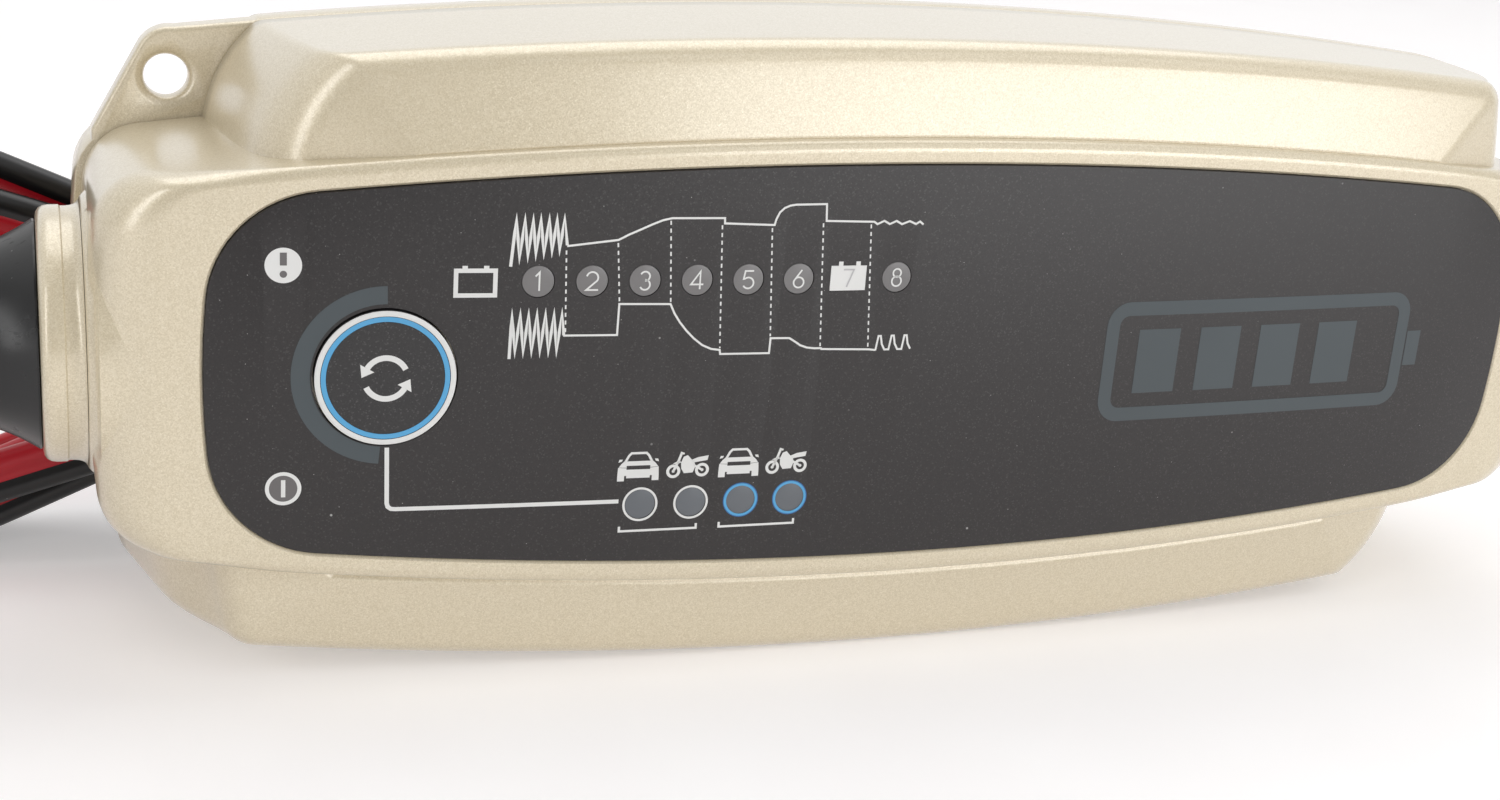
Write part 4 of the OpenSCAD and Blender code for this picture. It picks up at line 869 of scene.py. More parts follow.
ROUND_NUMBERS = (0, 1, 2, 3, 4, 5, 7)
(cell_x, cell_z), (cell_a, cell_b) = NUMBERS[6], CELL_HALF
cell_corners = [(cell_x + sx * cell_a, cell_z + sz * cell_b) for sx, sz in ((-1, -1), (1, -1), (1, 1), (-1, 1))]
cell, cell_faces = slab(cell_corners, 0, GUIDE_END, 0.08)
cell[:, 1] += bow(cell[:, 0]) * (cell[:, 1] < 1)
windows("number_guides", "number_windows", GREY_WINDOW, (cell, cell_faces),
        *[guide(*NUMBERS[i]) for i in ROUND_NUMBERS])
windows("mode_guides", "mode_windows", BLUE_WINDOW, *[guide(x, z) for x, z in MODES])
windows("alert_guides", "alert_windows", WHITE_WINDOW, *[guide(x, z) for x, z in ALERTS])


LONGEST_LEG = 1.5


def strip(line, width, closed=False):
    """A line in x and z drawn with a width: each point is pushed both ways along the mitre of its two legs.
    Long legs get points between, so that the line can follow the bow."""
    p = np.asarray(line, float)
    between = []
    for a, b in zip(p, np.roll(p, -1, 0) if closed else p[1:]):
        n = max(1, int(np.linalg.norm(b - a) / LONGEST_LEG))
        between += [a + (b - a) * k / n for k in range(n)]
    p = np.array(between + ([] if closed else [p[-1]]))
    legs = unit(np.diff(np.vstack([p, p[:1]]) if closed else p, axis=0))
    before = np.roll(legs, 1, 0) if closed else np.vstack([legs[:1], legs])
    after = legs if closed else np.vstack([legs, legs[-1:]])
    mid = unit(before + after)
    out = np.column_stack([-mid[:, 1], mid[:, 0]])
    reach = width / 2 / np.maximum(0.35, (mid * after).sum(1))[:, None]
    n = len(p)
    i = np.arange(n if closed else n - 1)
    faces = np.column_stack([i, (i + 1) % n, (i + 1) % n + n, i + n]).tolist()
    return np.vstack([p + out * reach, p - out * reach]), faces


def disc(x, z, r, n=48):
    t = 2 * math.pi * np.arange(n) / n
    return np.column_stack([x + r * np.cos(t), z + r * np.sin(t)]), [tuple(range(n))]


def arc(x, z, r, a0, a1, n=48):
    t = np.radians(np.linspace(a0, a1, n))
    return np.column_stack([x + r * np.cos(t), z + r * np.sin(t)])


def circle(x, z, inner, outer, n=64):
    return strip(arc(x, z, (inner + outer) / 2, 0, 360 - 360 / n, n), outer - inner, True)


def fill(*corners):
    return np.array(corners, float), [tuple(range(len(corners)))]


def box(x0, z0, x1, z1):
    return fill((x0, z0), (x1, z0), (x1, z1), (x0, z1))


def dashes(a, b, length=0.4, gap=0.36, width=0.15):
    """A dashed line from a to b."""
    a, b = np.array(a, float), np.array(b, float)
    d, whole_way = unit(b - a), np.linalg.norm(b - a)
    return [strip([a + d * s, a + d * min(s + length, whole_way)], width)
            for s in np.arange(0, whole_way - 0.1, length + gap)]


NUMERALS = {
    1: [[(-0.28, 0.5), (0.1, 0.9), (0.1, -0.9)]],
    2: [[*arc(0, 0.34, 0.56, 165, -30, 14), (-0.56, -0.86), (0.6, -0.86)]],
    3: [[*arc(-0.02, 0.44, 0.46, 155, -90, 14)], [*arc(-0.02, -0.4, 0.5, 90, -155, 14)]],
    4: [[(0.28, -0.9), (0.28, 0.86), (-0.62, -0.42), (0.62, -0.42)]],
    5: [[(0.5, 0.86), (-0.36, 0.86), (-0.5, 0.06), *arc(-0.02, -0.34, 0.55, 130, -150, 14)]],
    6: [[(0.28, 0.9), (-0.42, -0.08), *arc(0, -0.36, 0.52, 160, 500, 24)]],
    7: [[(-0.54, 0.86), (0.54, 0.86), (-0.12, -0.9)]],
    8: [[*arc(0, 0.44, 0.42, 90, 450, 24)], [*arc(0, -0.4, 0.5, 90, 450, 24)]],
}


def figure(number, x, z, width=0.17):
    """A thin plain numeral drawn with strips, centred on a place."""
    return [strip([(x + a, z + b) for a, b in line], width) for line in NUMERALS[number]]


def turned_forwards(p, faces):
    """A flat piece with each face turned forwards, by the sign of its area in x and z."""
    kept = []
    for face in faces:
        q = p[list(face)]
        area = (q[:, 0] * np.roll(q[:, 1], -1) - q[:, 1] * np.roll(q[:, 0], -1)).sum()
        kept.append(face if area > 0 else face[::-1])
    return p, kept


def flat_mesh(name, pieces, laid):
    """Flat pieces as one mesh, their faces as they are drawn; laid(p) carries a piece's points to a surface."""
    points, faces, start = [], [], 0
    for p, f in pieces:
        points.append(laid(p))
        faces += [tuple(i + start for i in face) for face in f]
        start += len(p)
    mesh = bpy.data.meshes.new(name)
    mesh.from_pydata(np.vstack(points).tolist(), [], faces)
    mesh.update()
    return mesh


def printed(name, material, pieces, lift=0.02):
    """Flat pieces in x and z laid on the bowed film, a little in front of it, facing forwards."""
    mesh = flat_mesh(name, [turned_forwards(*piece) for piece in pieces],
                     lambda p: np.column_stack([p[:, 0], bow(p[:, 0]) - lift, p[:, 1]]))
    dressed(name, mesh, material)


def zigzag(tops, height, lows, start, end):
    """Sharp waves from start to end: up to each top, and down to a low midway between two tops."""
    line = [start]
    for k, top in enumerate(tops):
        line.append((top, height))
        if k < len(lows):
            line.append(((top + tops[k + 1]) / 2, lows[k]))
    return line + [end]


upper_waves = zigzag((-43.17, -42.37, -41.6, -40.88, -40.09, -39.36, -38.65), 15.43,
                     [11.2 + 0.16 * k for k in range(6)], (-43.57, 10.66), (-38.3, 12.7))
upper_line = [(-38.3, 12.62), (-33.4, 13.2), (-32.4, 13.72), (-31.3, 14.2), (-30.2, 14.7), (-29.2, 15.1),
              (-28.3, 15.3), (-23.09, 15.3), (-23.06, 14.78), (-18.05, 14.6), (-17.9, 15.2), (-17.6, 15.85),
              (-17.15, 16.27), (-16.6, 16.5), (-16.0, 16.6), (-12.86, 16.65), (-12.75, 14.98), (-7.75, 14.86),
              (-7.4, 14.62), (-6.7, 14.95), (-6.1, 14.62), (-5.4, 14.93), (-4.8, 14.6), (-4.0, 14.9),
              (-3.3, 14.6), (-2.9, 14.85), (-2.5, 14.55)]
lower_waves = zigzag((-43.27, -42.48, -41.69, -40.89, -40.08, -39.26, -38.5), 6.28,
                     [2.05] * 6, (-43.4, 1.63), (-38.25, 3.9))
lower_line = [(-38.3, 3.87), (-33.06, 3.84), (-33.0, 6.92), (-27.95, 6.85), (-27.5, 5.9), (-26.9, 5.0),
              (-26.2, 4.15), (-25.4, 3.35), (-24.5, 2.65), (-23.6, 2.25), (-22.7, 2.12), (-22.62, 1.7),
              (-17.6, 1.67), (-17.55, 3.2), (-15.6, 3.17), (-15.0, 2.8), (-14.4, 2.4), (-13.7, 2.15),
              (-12.9, 2.05), (-12.2, 2.05), (-12.15, 1.95), (-7.06, 1.78), (-6.45, 1.7)]
for x in (-6.35, -4.95, -3.55):
    lower_line += [(x, 1.72), (x + 0.2, 3.15), (x + 0.45, 3.15), (x + 0.62, 2.3), (x + 0.95, 1.72)]
DASHES = [((-38.35, 12.2), (-38.1, 3.95)), ((-33.42, 12.9), (-33.0, 7.1)), ((-28.4, 15.05), (-27.95, 7.05)),
          ((-23.3, 14.6), (-22.7, 2.3)), ((-18.25, 14.3), (-17.6, 3.4)), ((-13.05, 14.75), (-12.3, 2.25)),
          ((-8.05, 14.6), (-7.2, 1.95))]
graph = [strip(upper_line, 0.2), strip(lower_line, 0.2), strip(upper_waves, 0.3), strip(lower_waves, 0.3)]
for a, b in DASHES:
    graph += dashes(a, b)
printed("stage_graph", WHITE_INK, graph)
FACE_LIFT, SIGN_LIFT, CELL_LIFT = 0.025, 0.04, 0.05

battery = [strip([(-48.62, 7.9), (-44.95, 7.9), (-44.95, 10.28), (-48.62, 10.28)], 0.42, True),
           box(-48.05, 10.45, -47.55, 10.75), box(-46.05, 10.45, -45.55, 10.75)]
battery += [box(-11.06, 10.44, -10.6, 10.88), box(-9.25, 10.44, -8.78, 10.88)]
leader = [(-54.68, -6.95), (-54.6, -12.6), (-54.5, -12.95), (-54.2, -13.18), (-53.8, -13.22), (-32.0, -13.3)]
marks = [strip(leader, 0.42)]
marks += [circle(x, z, 1.56, 1.79) for x, z in MODES[:2]]
for x in (-30.9, -20.6):
    marks.append(strip([(x - 0.9, -16.0), (x - 0.9, -16.5), (x + 7.0, -16.5), (x + 7.0, -16.0)], 0.24))


def moved(x, z, *points):
    """Points about a sign's own middle, carried to its place."""
    return [(x + a, z + b) for a, b in points]


def car(x, z):
    """The front of a car: roof, wings, lamps, wheels, mirrors, and two bars with a bare gap between them."""
    roof = moved(x, z, (-1.35, 0.45), (-1.0, 1.1), (-0.75, 1.35), (0.75, 1.35), (1.0, 1.1), (1.35, 0.45))
    wing = moved(x, z, (-1.75, 0.25), (-1.45, 0.52), (-1.2, 0.52), (-1.2, -0.15), (-2.0, -0.1))
    lamp = moved(x, z, (-2.05, -0.12), (-1.2, -0.2), (-1.2, -1.0), (-2.1, -1.0))
    wheel = moved(x, z, (-2.1, -1.0), (-1.4, -1.0), (-1.4, -1.55), (-2.1, -1.55))
    mirror = moved(x, z, (-2.05, 0.42), (-1.72, 0.5), (-1.62, 0.72), (-1.95, 0.72))
    left = [fill(*points) for points in (wing, lamp, wheel, mirror)]
    middle = [box(x - 1.2, z + b, x + 1.2, z + a) for a, b in ((0.52, 0.05), (-0.35, -1.25))]
    right = [(np.column_stack([2 * x - p[:, 0], p[:, 1]]), f) for p, f in left]
    return [strip(roof, 0.24), *left, *middle, *right]


def motorcycle(x, z):
    """A motorcycle from its side: two wheels, engine and tank, seat, fork, handlebar, rear arm and lamp."""
    wheels = moved(x, z, (-1.5, -0.75), (1.45, -0.7))
    engine = moved(x, z, (-0.75, 0.15), (-0.5, 0.75), (-0.1, 0.9), (0.35, 0.4), (0.6, 0.25), (0.75, -0.3),
                   (0.5, -0.95), (-0.4, -1.0), (-0.7, -0.5))
    seat = moved(x, z, (0.35, 0.4), (1.0, 0.65), (2.05, 0.8), (1.95, 0.3), (1.2, 0.2), (0.6, 0.1))
    fork = moved(x, z, (-1.5, -0.75), (-1.0, 0.35), (-0.75, 1.1))
    handlebar, rear_arm = moved(x, z, (-0.85, 1.2), (-0.45, 1.05)), moved(x, z, (0.6, -0.2), (1.45, -0.7))
    lamp = moved(x, z, (-1.6, 0.05), (-0.9, 0.4), (-0.75, 0.15), (-1.2, 0.0))
    return [*(circle(*w, 0.42, 0.72, 32) for w in wheels), *(disc(*w, 0.16, 16) for w in wheels), fill(*engine),
            fill(*seat), strip(fork, 0.26), strip(handlebar, 0.2), strip(rear_arm, 0.24), fill(*lamp)]


for x in (-30.17, -19.84):
    marks += car(x, -9.65)
for x in (-25.1, -14.8):
    marks += motorcycle(x, -9.6)
printed("panel_symbols", WHITE_INK, battery + marks)
printed("mode_ring_light", BLUE_INK, [circle(x, z, 1.5, 1.74) for x, z in MODES[2:]])
printed("mode_ring_deep", DEEP_BLUE_INK, [circle(x, z, 1.74, 1.84) for x, z in MODES[2:]])
printed("window_figures", WHITE_INK, [s for i in ROUND_NUMBERS for s in figure(i + 1, *NUMBERS[i])],
        SIGN_LIFT)
printed("battery_cell_face", WHITE_INK, [fill(*cell_corners)], FACE_LIFT)
printed("battery_cell_figure", PALE_INK, figure(7, cell_x, cell_z, 0.15), CELL_LIFT)
x, z = ALERTS[0]
printed("warning_symbol", GREY_INK, [box(x - 0.31, z, x + 0.31, z + 1.2), disc(x, z - 0.82, 0.33, 24)],
        SIGN_LIFT)
printed("warning_face", WHITE_INK, [disc(x, z, 1.66)], FACE_LIFT)
x, z = ALERTS[1]
printed("power_face", GREY_INK, [disc(x, z, 1.36)], FACE_LIFT)
printed("power_symbol", WHITE_INK, [circle(x, z, 1.3, 1.66), box(x - 0.2, z - 0.86, x + 0.2, z + 0.86)],
        SIGN_LIFT)
crescent = [strip(arc(-54.84, 0.14, 7.84, 90, 266, 72), 1.72)]
LEVEL_CORNERS = ((22.2, 3.4, 180), (55.6, 3.4, 90), (55.6, -4.6, 0), (22.2, -4.6, -90))
outline = np.vstack([arc(x, z, 1.8, start, start - 90, 8) for x, z, start in LEVEL_CORNERS])
level = [strip(outline, 1.5, True), box(58.3, -2.6, 60.1, 1.4)]
level += [box(x, -4.1, x + 5.0, 2.9) for x in (23.6, 31.1, 38.6, 46.1)]
printed("slate_print", SLATE_INK, crescent + level)


# ---- mode button ------------------------------------------------------------------------------------------

CAP_TOP, CAP_FOOT = -BUTTON_PROUD, PANEL_T + 0.1
CAP_RIGHT = np.array([BUTTON_AXIS[1], -BUTTON_AXIS[0], 0.0])


def cap_piece(name, profile, material, foot=(), nodes=()):
    """A piece turned round the button's axis: radii with depths behind the cap's top, then its foot."""
    profile = [(r, CAP_TOP + y) for r, y in profile] + list(foot)
    mesh = mesh_of(name, *turned(profile, BUTTON_SEAT, BUTTON_AXIS, 128))
    dressed(name, mesh, material, body="mode_button", nodes=nodes)


cap_piece("button_cap", [(0, 0.06), (5.46, 0.06), (5.5, 0.1), (5.98, 0.1), (6.02, 0.06), (6.5, 0.06),
                         (6.57, 0.12), (BUTTON_R, 0.25)], CAP_FILM,
          [(BUTTON_R, CAP_FOOT), (0, CAP_FOOT)], ("mode_button",))
cap_piece("button_white_ring", [(6.03, 0.16), (6.03, 0.02), (6.1, 0), (6.46, 0), (6.54, 0.04), (6.56, 0.16)],
          WHITE_INK)
cap_piece("button_blue_ring", [(5.5, 0.16), (5.5, 0.05), (5.97, 0.05), (5.97, 0.16)], BLUE_INK)


def on_cap(p):
    """Points about the button's own middle, laid just in front of its cap."""
    up = np.array([0, 0, 1.0])
    return BUTTON_SEAT + (CAP_TOP + 0.045) * BUTTON_AXIS + p[:, :1] * CAP_RIGHT + p[:, 1:] * up


ARROW_R, ARROW_HALF, ARROW_TIP = 2.0, 0.75, 1.05
cycle = []
for a in (0, 180):
    cycle.append(strip(arc(0, 0, ARROW_R, a + 25, a + 150, 24), 0.55))
    tip = np.radians(a + 150)
    out = np.array([math.cos(tip), math.sin(tip)])
    ahead = np.array([-math.sin(tip), math.cos(tip)])
    c = ARROW_R * out
    cycle.append(fill(c - out * ARROW_HALF, c + ahead * ARROW_TIP, c + out * ARROW_HALF))
dressed("button_cycle_symbol", flat_mesh("button_cycle_symbol", cycle, on_cap), WHITE_INK,
        body="mode_button")


# ---- outlets, boot and fittings ---------------------------------------------------------------------------

COLLAR = [(8.2, 0.05), (12.78, 0.05), (12.52, 0.22), (12.33, 0.5), (12.22, 0.85), (12.18, 1.3), (12.18, 1.72),
          (COLLAR_R, 1.86), (COLLAR_R, 2.8), (12.22, 3.3), (11.98, 3.7), (11.6, 3.94), (11.2, COLLAR_L),
          (8.4, COLLAR_L), (8.2, 3.8)]
for sx, side in ((-1, "left"), (1, "right")):
    solid = turned([(r, BLOCK_HALF + x) for r, x in COLLAR], (0, OUTLET_Y, 0), (1, 0, 0), 128)
    name = f"{side}_collar_skin"
    dressed(name, mesh_of(name, *(mirrored(solid, -1) if sx < 0 else solid)), SHELL,
            nodes=(f"{side}_collar",))

BOOT_X, FLARE_L, FOOT_L, TIP_L = BLOCK_HALF + COLLAR_L, 9, 0.3, 0.9
FLARE_END = FOOT_L + FLARE_L
SLOT_X, SLOT_PITCH, SLOT_W, SLOT_IN, SLOT_OUT, SLOT_HALF = BOOT_X + 11, 5.6, 1.6, 3.6, 12.0, 13
flare = [(BOOT_NECK_R + (BOOT_R - BOOT_NECK_R) * (1 - t)**2, BOOT_X + FOOT_L + FLARE_L * t)
         for t in np.linspace(0, 1, 14)[1:]]
taper = [(BOOT_NECK_R + (BOOT_TIP_R - BOOT_NECK_R) * t, BOOT_X + FLARE_END + (BOOT_L - FLARE_END - TIP_L) * t)
         for t in np.linspace(0, 1, 12)[1:]]
BOOT = [(0, 75.9), (9.5, 75.9), (9.6, 76.1), (9.6, 78.3), (7.95, 78.5), (7.95, BOOT_X), (10.8, BOOT_X),
        (10.98, BOOT_X + 0.12), (BOOT_R, BOOT_X + FOOT_L), *flare, *taper,
        (BOOT_TIP_R - 0.15, BOOT_X + BOOT_L - 0.35), (BOOT_TIP_R - 0.6, BOOT_X + BOOT_L), (0, BOOT_X + BOOT_L)]


def flat_box(x, z, y):
    """A plain box between two values each of x, z and y."""
    return slab([(x[0], z[0]), (x[0], z[1]), (x[1], z[1]), (x[1], z[0])], *y)


slots = []
for i in range(5):
    along, across = (SLOT_X + i * SLOT_PITCH, SLOT_X + i * SLOT_PITCH + SLOT_W), (-SLOT_HALF, SLOT_HALF)
    for cut in ((SLOT_IN, SLOT_OUT), (-SLOT_OUT, -SLOT_IN)):
        z, y = (across, cut) if i % 2 else (cut, across)
        slots.append(flat_box(along, z, (OUTLET_Y + y[0], OUTLET_Y + y[1])))
boot = turned(BOOT, (0, OUTLET_Y, 0), (1, 0, 0), 96)
shape = carved("boot_shape", mirrored(boot, -1), ("DIFFERENCE", mirrored(joined(*slots), -1)))
dressed("lead_boot_skin", shape, RUBBER, nodes=("lead_boot",))


# ---- output lead ------------------------------------------------------------------------------------------

HANK_X, HANK_Z, HANK_BACK, HANK_FRONT, PINCH = -51.0, 24.0, 33.8, 21.0, 3.1
WAIST_R, HANK_TURNS, HANK_STEP = 25.0, 4.30, 0.006
# Each pass of the hank: its end loops' radius, their distance from the tie and their height above it.
PASSES = np.array([(18.6, 52.2, -2.4), (19.2, 51.6, -1.8), (20.1, 50.7, -0.9), (21.0, 49.85, 0.0),
                   (18.7, 55.0, 0.3), (21.0, 49.85, 0.0)])


def hank_loop(share, radius, reach, rise):
    """One turn of the hank by share of its way, from the lowest point of the left loop: along the lower run,
    round the right loop, back along the upper run and round the left loop. Both runs bend gently at the tie and
    touch both loops; the two tangent angles come from the distance between the centres of loop and bend."""
    def tangent(gap):
        base = math.atan2(reach, gap + WAIST_R)
        return base - math.acos((radius + WAIST_R) / math.hypot(reach, gap + WAIST_R))
    low, high = tangent(PINCH + rise), tangent(PINCH - rise)
    parts = []
    for a, side in ((low, -1), (high, 1)):
        t = np.linspace(-a, a, 15)
        waist = np.column_stack([WAIST_R * np.sin(t), side * (PINCH + WAIST_R - WAIST_R * np.cos(t))])
        parts.append(waist if side < 0 else waist[::-1])
    t = np.linspace(-math.pi / 2 - low, math.pi / 2 + high, 60)
    right = np.column_stack([reach + radius * np.cos(t), rise + radius * np.sin(t)])
    left = np.column_stack([-right[::-1, 0], right[::-1, 1]])
    line = np.vstack([parts[0], right, parts[1], left])
    start = len(parts[0]) + len(right) + len(parts[1]) + int(np.argmin(left[:, 1]))
    line = np.vstack([line[start:], line[:start], line[start:start + 1]])
    s = np.r_[0, np.cumsum(np.linalg.norm(np.diff(line, axis=0), axis=1))]
    share = np.atleast_1d(share) * s[-1]
    return np.column_stack([np.interp(share, s, line[:, 0]), np.interp(share, s, line[:, 1])])


def hank_line():
    """The hank's centreline in frame millimetres: four turns and one more lower run. Each whole turn changes
    from one pass to the next in the middle of its way, round the right end, by a smooth step; the last run does
    so soon after its start. The layers move evenly from the back to the front."""
    t = np.arange(0, HANK_TURNS + HANK_STEP / 2, HANK_STEP)
    t[-1] = HANK_TURNS
    turn_no = np.floor(t).astype(int)
    part = t - turn_no
    ease = np.where(turn_no < 4, np.clip((part - 0.32) / 0.36, 0, 1), np.clip((part - 0.02) / 0.24, 0, 1))
    ease = ease**2 * (3 - 2 * ease)
    sizes = PASSES[turn_no] * (1 - ease)[:, None] + PASSES[turn_no + 1] * ease[:, None]
    flat = np.vstack([hank_loop(p, *size) for p, size in zip(part, sizes)])
    y = HANK_BACK + (HANK_FRONT - HANK_BACK) * t / HANK_TURNS
    return np.column_stack([HANK_X + flat[:, 0], y, HANK_Z + flat[:, 1]])


LEAD_STEP = 2.0
LEAD_START = [(-125.2, -0.8, 32.6), (-131, -0.8, 32.6), (-138, -0.3, 30.4), (-145, 1.6, 25.4),
              (-151, 5.2, 20.4), (-155.6, 10.4, 15.3), (-158, 16.6, 10.8), (-157.8, 23, 7.2),
              (-154.8, 28.8, 4.8), (-149.6, 33, 3.5), (-143, 35, 3.0), (-135, 35.6, 3.0), (-126, 35.2, 3.0),
              (-116, 34.5, 3.0)]
LEAD_END = [(4, 21.3, 3.0), (9, 22.2, 3.0), (14, 24, 3.4), (19, 26, 4.6), (23, 27, 6), (26, 27, 6),
            (27.5, 27, 6)]


def length_of(line):
    return float(np.linalg.norm(np.diff(line, axis=0), axis=1).sum())


first_stretch, tied_stretch = smooth_through(LEAD_START, LEAD_STEP), hank_line()[1:]
last_stretch = smooth_through(LEAD_END, LEAD_STEP)
HANK_START = length_of(first_stretch)
HANK_END = HANK_START + length_of(tied_stretch)
lead_line = relaxed(spaced(np.vstack([first_stretch, tied_stretch, last_stretch]), LEAD_STEP), 3)


def twin_tube(line, width, thick, around=12):
    """A flat twin lead along a line: each conductor's skin is an arc of a circle beside the line, open towards
    the other one. Its thin direction lies level along the free stretches and along the depth round the hank."""
    along = unit(np.gradient(line, axis=0))
    level = unit(np.cross(along, [0.0, 0.0, 1.0]) + 1e-9)
    s = np.r_[0, np.cumsum(np.linalg.norm(np.diff(line, axis=0), axis=1))]
    tied = np.clip((s - HANK_START) / 12, 0, 1) * np.clip((HANK_END - s) / 12, 0, 1)
    deep = np.array([0.0, -1.0, 0.0]) - along * (along @ [0.0, -1.0, 0.0])[:, None]
    side = unit(level * (1 - tied)[:, None] + unit(deep) * tied[:, None])
    up = np.cross(side, along)
    r = thick / 2 - 0.05
    half = np.linspace(-math.radians(138), math.radians(138), around)
    offset = width / 2 - r
    u = np.r_[offset + r * np.cos(half), -offset - r * np.cos(half)]
    v = np.r_[r * np.sin(half), -r * np.sin(half)]
    points = line[:, None] + u[:, None] * up[:, None] + v[:, None] * side[:, None]
    n, m = 2 * around, len(line)
    faces = [tuple(f) for f in grid_faces(m, n)]
    colour = np.tile(np.r_[np.zeros(around), np.ones(around)].astype(int), m - 1).tolist() + [0, 0]
    faces += [tuple(range(n - 1, -1, -1)), tuple(range((m - 1) * n, m * n))]
    return points.reshape(-1, 3), faces, colour


points, faces, lead_colour = twin_tube(lead_line, LEAD_W, LEAD_THICK)
mesh = mesh_of("output_lead", points * MM, faces)
mesh.polygons.foreach_set("material_index", lead_colour)
lead = dressed("twin_output_lead", mesh, [RED_LEAD, BLACK_LEAD], angle=60, scale=False,
               nodes=("output_lead", "lead_hank", "lead_tail"))


# ---- connector, tie and case screws -----------------------------------------------------------------------

def oblong(u0, v0, u1, v1, r, turns=5):
    """A rectangle with round corners."""
    a = np.radians(np.linspace(0, 90, turns))
    corners = ((u1 - r, v1 - r, 0), (u0 + r, v1 - r, 90), (u0 + r, v0 + r, 180), (u1 - r, v0 + r, 270))
    rounds = [(u, v, a + math.radians(t)) for u, v, t in corners]
    return np.vstack([np.column_stack([u + r * np.cos(t), v + r * np.sin(t)]) for u, v, t in rounds])


def lying(solid, order=(0, 1, 2)):
    """A solid in frame millimetres, its directions in the order given, carried to case millimetres."""
    points, faces = solid
    return joined((np.asarray(points)[:, list(order)] + [0, BODY_D / 2, -MID_Z], faces))


PLUG_Y, PLUG_Z, POLES = 27.0, 6.0, (3.9, 10.7)
BARREL = [(0, 57.5), (3.05, 57.5), (3.1, 58.2), (3.1, 68.2), (2.95, 68.75), (2.5, 69), (0, 69)]
BORE = [(0, 57), (2, 57), (2, 68.6), (2.4, 69.2), (2.4, 70), (0, 70)]
barrels, bores = [[lying(turned(profile, (0, PLUG_Y, z), (1, 0, 0), 40)) for z in POLES]
                  for profile in (BARREL, BORE)]
grips = [lying(slab(oblong(x, 2.4, x + 1.3, 12.2, 0.6), *sorted((PLUG_Y + s * 4.75, PLUG_Y + s * 6))))
         for x in (39.5, 42.3, 45.1, 47.9, 50.7) for s in (-1, 1)]
body = lying(slab(oblong(35, 0.2, 58, 14.4, 1.7), PLUG_Y - 5.2, PLUG_Y + 5.2, 1.1, both=True))
shape = carved("connector_shape", body, *[("UNION", b) for b in barrels],
               ("DIFFERENCE", joined(*bores, *grips)))
dressed("connector_skin", shape, BLACK_PLASTIC, nodes=("connector_body",))
wave = np.linspace(0, 1, 49)
ribs = np.column_stack([3.8 + 1.35 * wave - 0.26 * (1 - np.cos(10 * math.pi * wave)), 26.4 + 8.2 * wave])
SLEEVE = [(0, 26), (3.3, 26), (3.62, 26.1), *ribs.tolist(), (5.3, 34.8), (5.3, 35.3), (0, 35.3)]
sleeve = lying(turned(SLEEVE, (0, PLUG_Y, PLUG_Z), (1, 0, 0), 48))
dressed("connector_sleeve_skin", mesh_of("connector_sleeve", *sleeve), RUBBER,
        nodes=("connector_sleeve",))


def round_tie(outline, half, edge=0.0):
    """A slab across the hank at its tie, with an outline in y and z and rounded edges where it has an edge."""
    return lying(slab(outline, HANK_X - half, HANK_X + half, edge, both=edge > 0), (1, 0, 2))


shape = carved("tie_shape", round_tie(oblong(19.12, 16.9, 36.5, 31.1, 1.3), 2, 0.3),
               ("DIFFERENCE", round_tie(oblong(19.6, 17.9, 35.5, 30.1, 0.4), 3)),
               ("UNION", round_tie(oblong(28.6, 30.3, 33.4, 33.4, 0.6), 2.7, 0.5)),
               ("DIFFERENCE", round_tie(oblong(29.8, 31.6, 32.4, 32.7, 0.3), 4)))
dressed("hank_tie_skin", shape, BLACK_PLASTIC, nodes=("hank_tie",))


SCREW = [(0, 14.4), (0.5, 14.4), (1.2, 16.2), (1.25, 33.44), (2.7, 33.44), (2.8, 33.55), (2.8, 34.3),
         (2.66, 34.85), (2.25, 35.3), (1.5, 35.55), (0, 35.6)]
for k, (x, z) in enumerate(BOSSES):
    cross = [slab(oblong(x - a, z - b, x + a, z + b, 0.2), 34.5, 36) for a, b in ((1.5, 0.32), (0.32, 1.5))]
    shape = carved("screw_shape", turned(SCREW, (x, 0, z), (0, 1, 0), 40), *[("DIFFERENCE", c) for c in cross])
    dressed(f"case_screw_{k + 1}", shape, STEEL, nodes=("case_screws",))


# ---- floor and light --------------------------------------------------------------------------------------

LAMPS = [("left_tall_box", (-0.8, -0.49, 0.38), 0.2, 0.8, 2.0),
         ("front_softbox", (0.5, -0.84, 0.22), 0.7, 0.36, 3.2),
         ("right_softbox", (0.45, -0.6, 0.7), 0.8, 0.5, 1.2),
         ("top_softbox", (0.1, 0.3, 0.95), 1.1, 0.8, 4.0)]
FLOOR_HALF, FLOOR_GLOW = 4.0, 0.32
ROOM_FRONT, ROOM_BACK, ROOM_LIGHT = 0.15, 1.0, 0.42


def seen_directly(tree):
    """One where the camera, a reflection or a clear piece looks straight at this surface, otherwise none."""
    view = add(tree, "ShaderNodeLightPath").outputs
    seen = maths(tree, "MAXIMUM", view["Is Camera Ray"], view["Is Glossy Ray"])
    return maths(tree, "MAXIMUM", seen, view["Is Transmission Ray"])


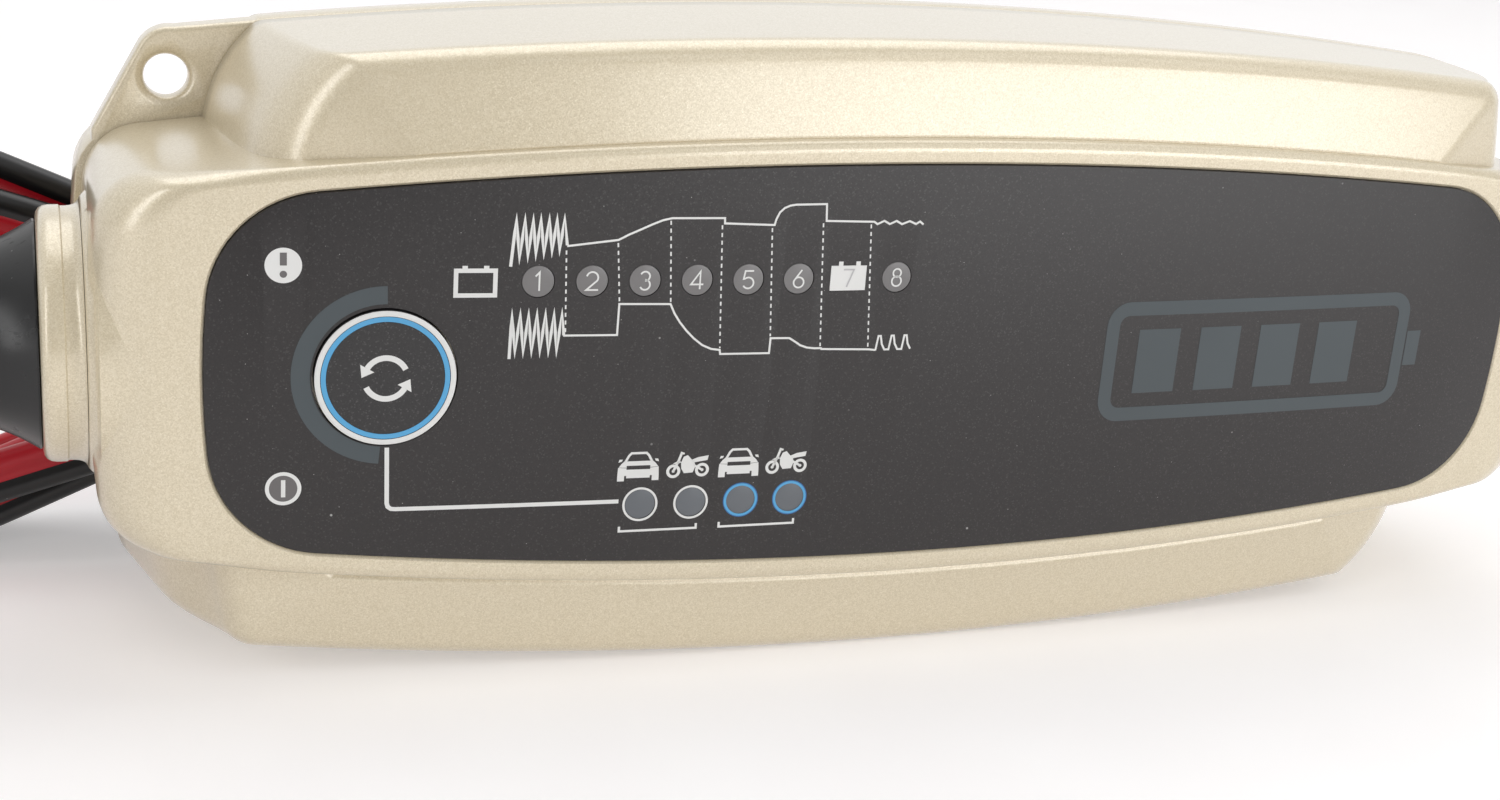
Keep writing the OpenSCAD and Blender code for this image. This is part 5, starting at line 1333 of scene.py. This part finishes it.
def studio():
    """A pale floor that glows a little where it is seen directly, a white room and four soft boxes. Seen
    directly, the room is bright behind the case and dark in front of it; as a light on dull surfaces it is even.
    The boxes are a tall one in front on the left, two in front on the right, low and high, and a large one
    overhead; each has its place, width, height and power."""
    size = FLOOR_HALF
    mesh = bpy.data.meshes.new("studio_floor")
    mesh.from_pydata([(-size, -size, 0), (size, -size, 0), (size, size, 0), (-size, size, 0)], [],
                     [(0, 1, 2, 3)])
    floor = object_of("studio_floor", mesh)
    material, tree, shader, at = blank("pale_floor")
    grain = effect(tree, GRAIN, at, Cells=600.0)
    tone = mixed(tree, grain.outputs["Tone"], (0.84, 0.82, 0.82, 1), (0.86, 0.845, 0.845, 1))
    wire(tree, shader, Base_Color=tone, Roughness=0.9, Emission_Color=(1, 0.985, 0.99, 1),
         Emission_Strength=maths(tree, "MULTIPLY", seen_directly(tree), FLOOR_GLOW))
    mesh.materials.append(material)
    world = bpy.data.worlds.new("studio")
    bpy.context.scene.world = world
    world.use_nodes = True
    tree = world.node_tree
    seen = seen_directly(tree)
    heading = add(tree, "ShaderNodeSeparateXYZ", {0: add(tree, "ShaderNodeTexCoord").outputs["Generated"]})
    room = ramp(tree, heading.outputs[1], -0.7, 0.3, ROOM_FRONT, ROOM_BACK)
    unseen = ramp(tree, seen, 0, 1, ROOM_LIGHT, 0.0)
    strength = maths(tree, "ADD", maths(tree, "MULTIPLY", seen, room), unseen)
    tree.links.new(strength, tree.nodes["Background"].inputs["Strength"])
    tree.nodes["Background"].inputs["Color"].default_value = (1, 1, 1, 1)
    for name, stand, wide, high, power in LAMPS:
        lamp = bpy.data.lights.new(name, "AREA")
        lamp.energy, lamp.shape, lamp.size, lamp.size_y = power, "RECTANGLE", wide, high
        aim = (Vector((0, 0, 0.03)) - Vector(stand)).to_track_quat("-Z", "Y")
        object_of(name, lamp).matrix_world = Matrix.Translation(stand) @ aim.to_matrix().to_4x4()


studio()
bpy.context.scene.view_settings.view_transform = "Standard"
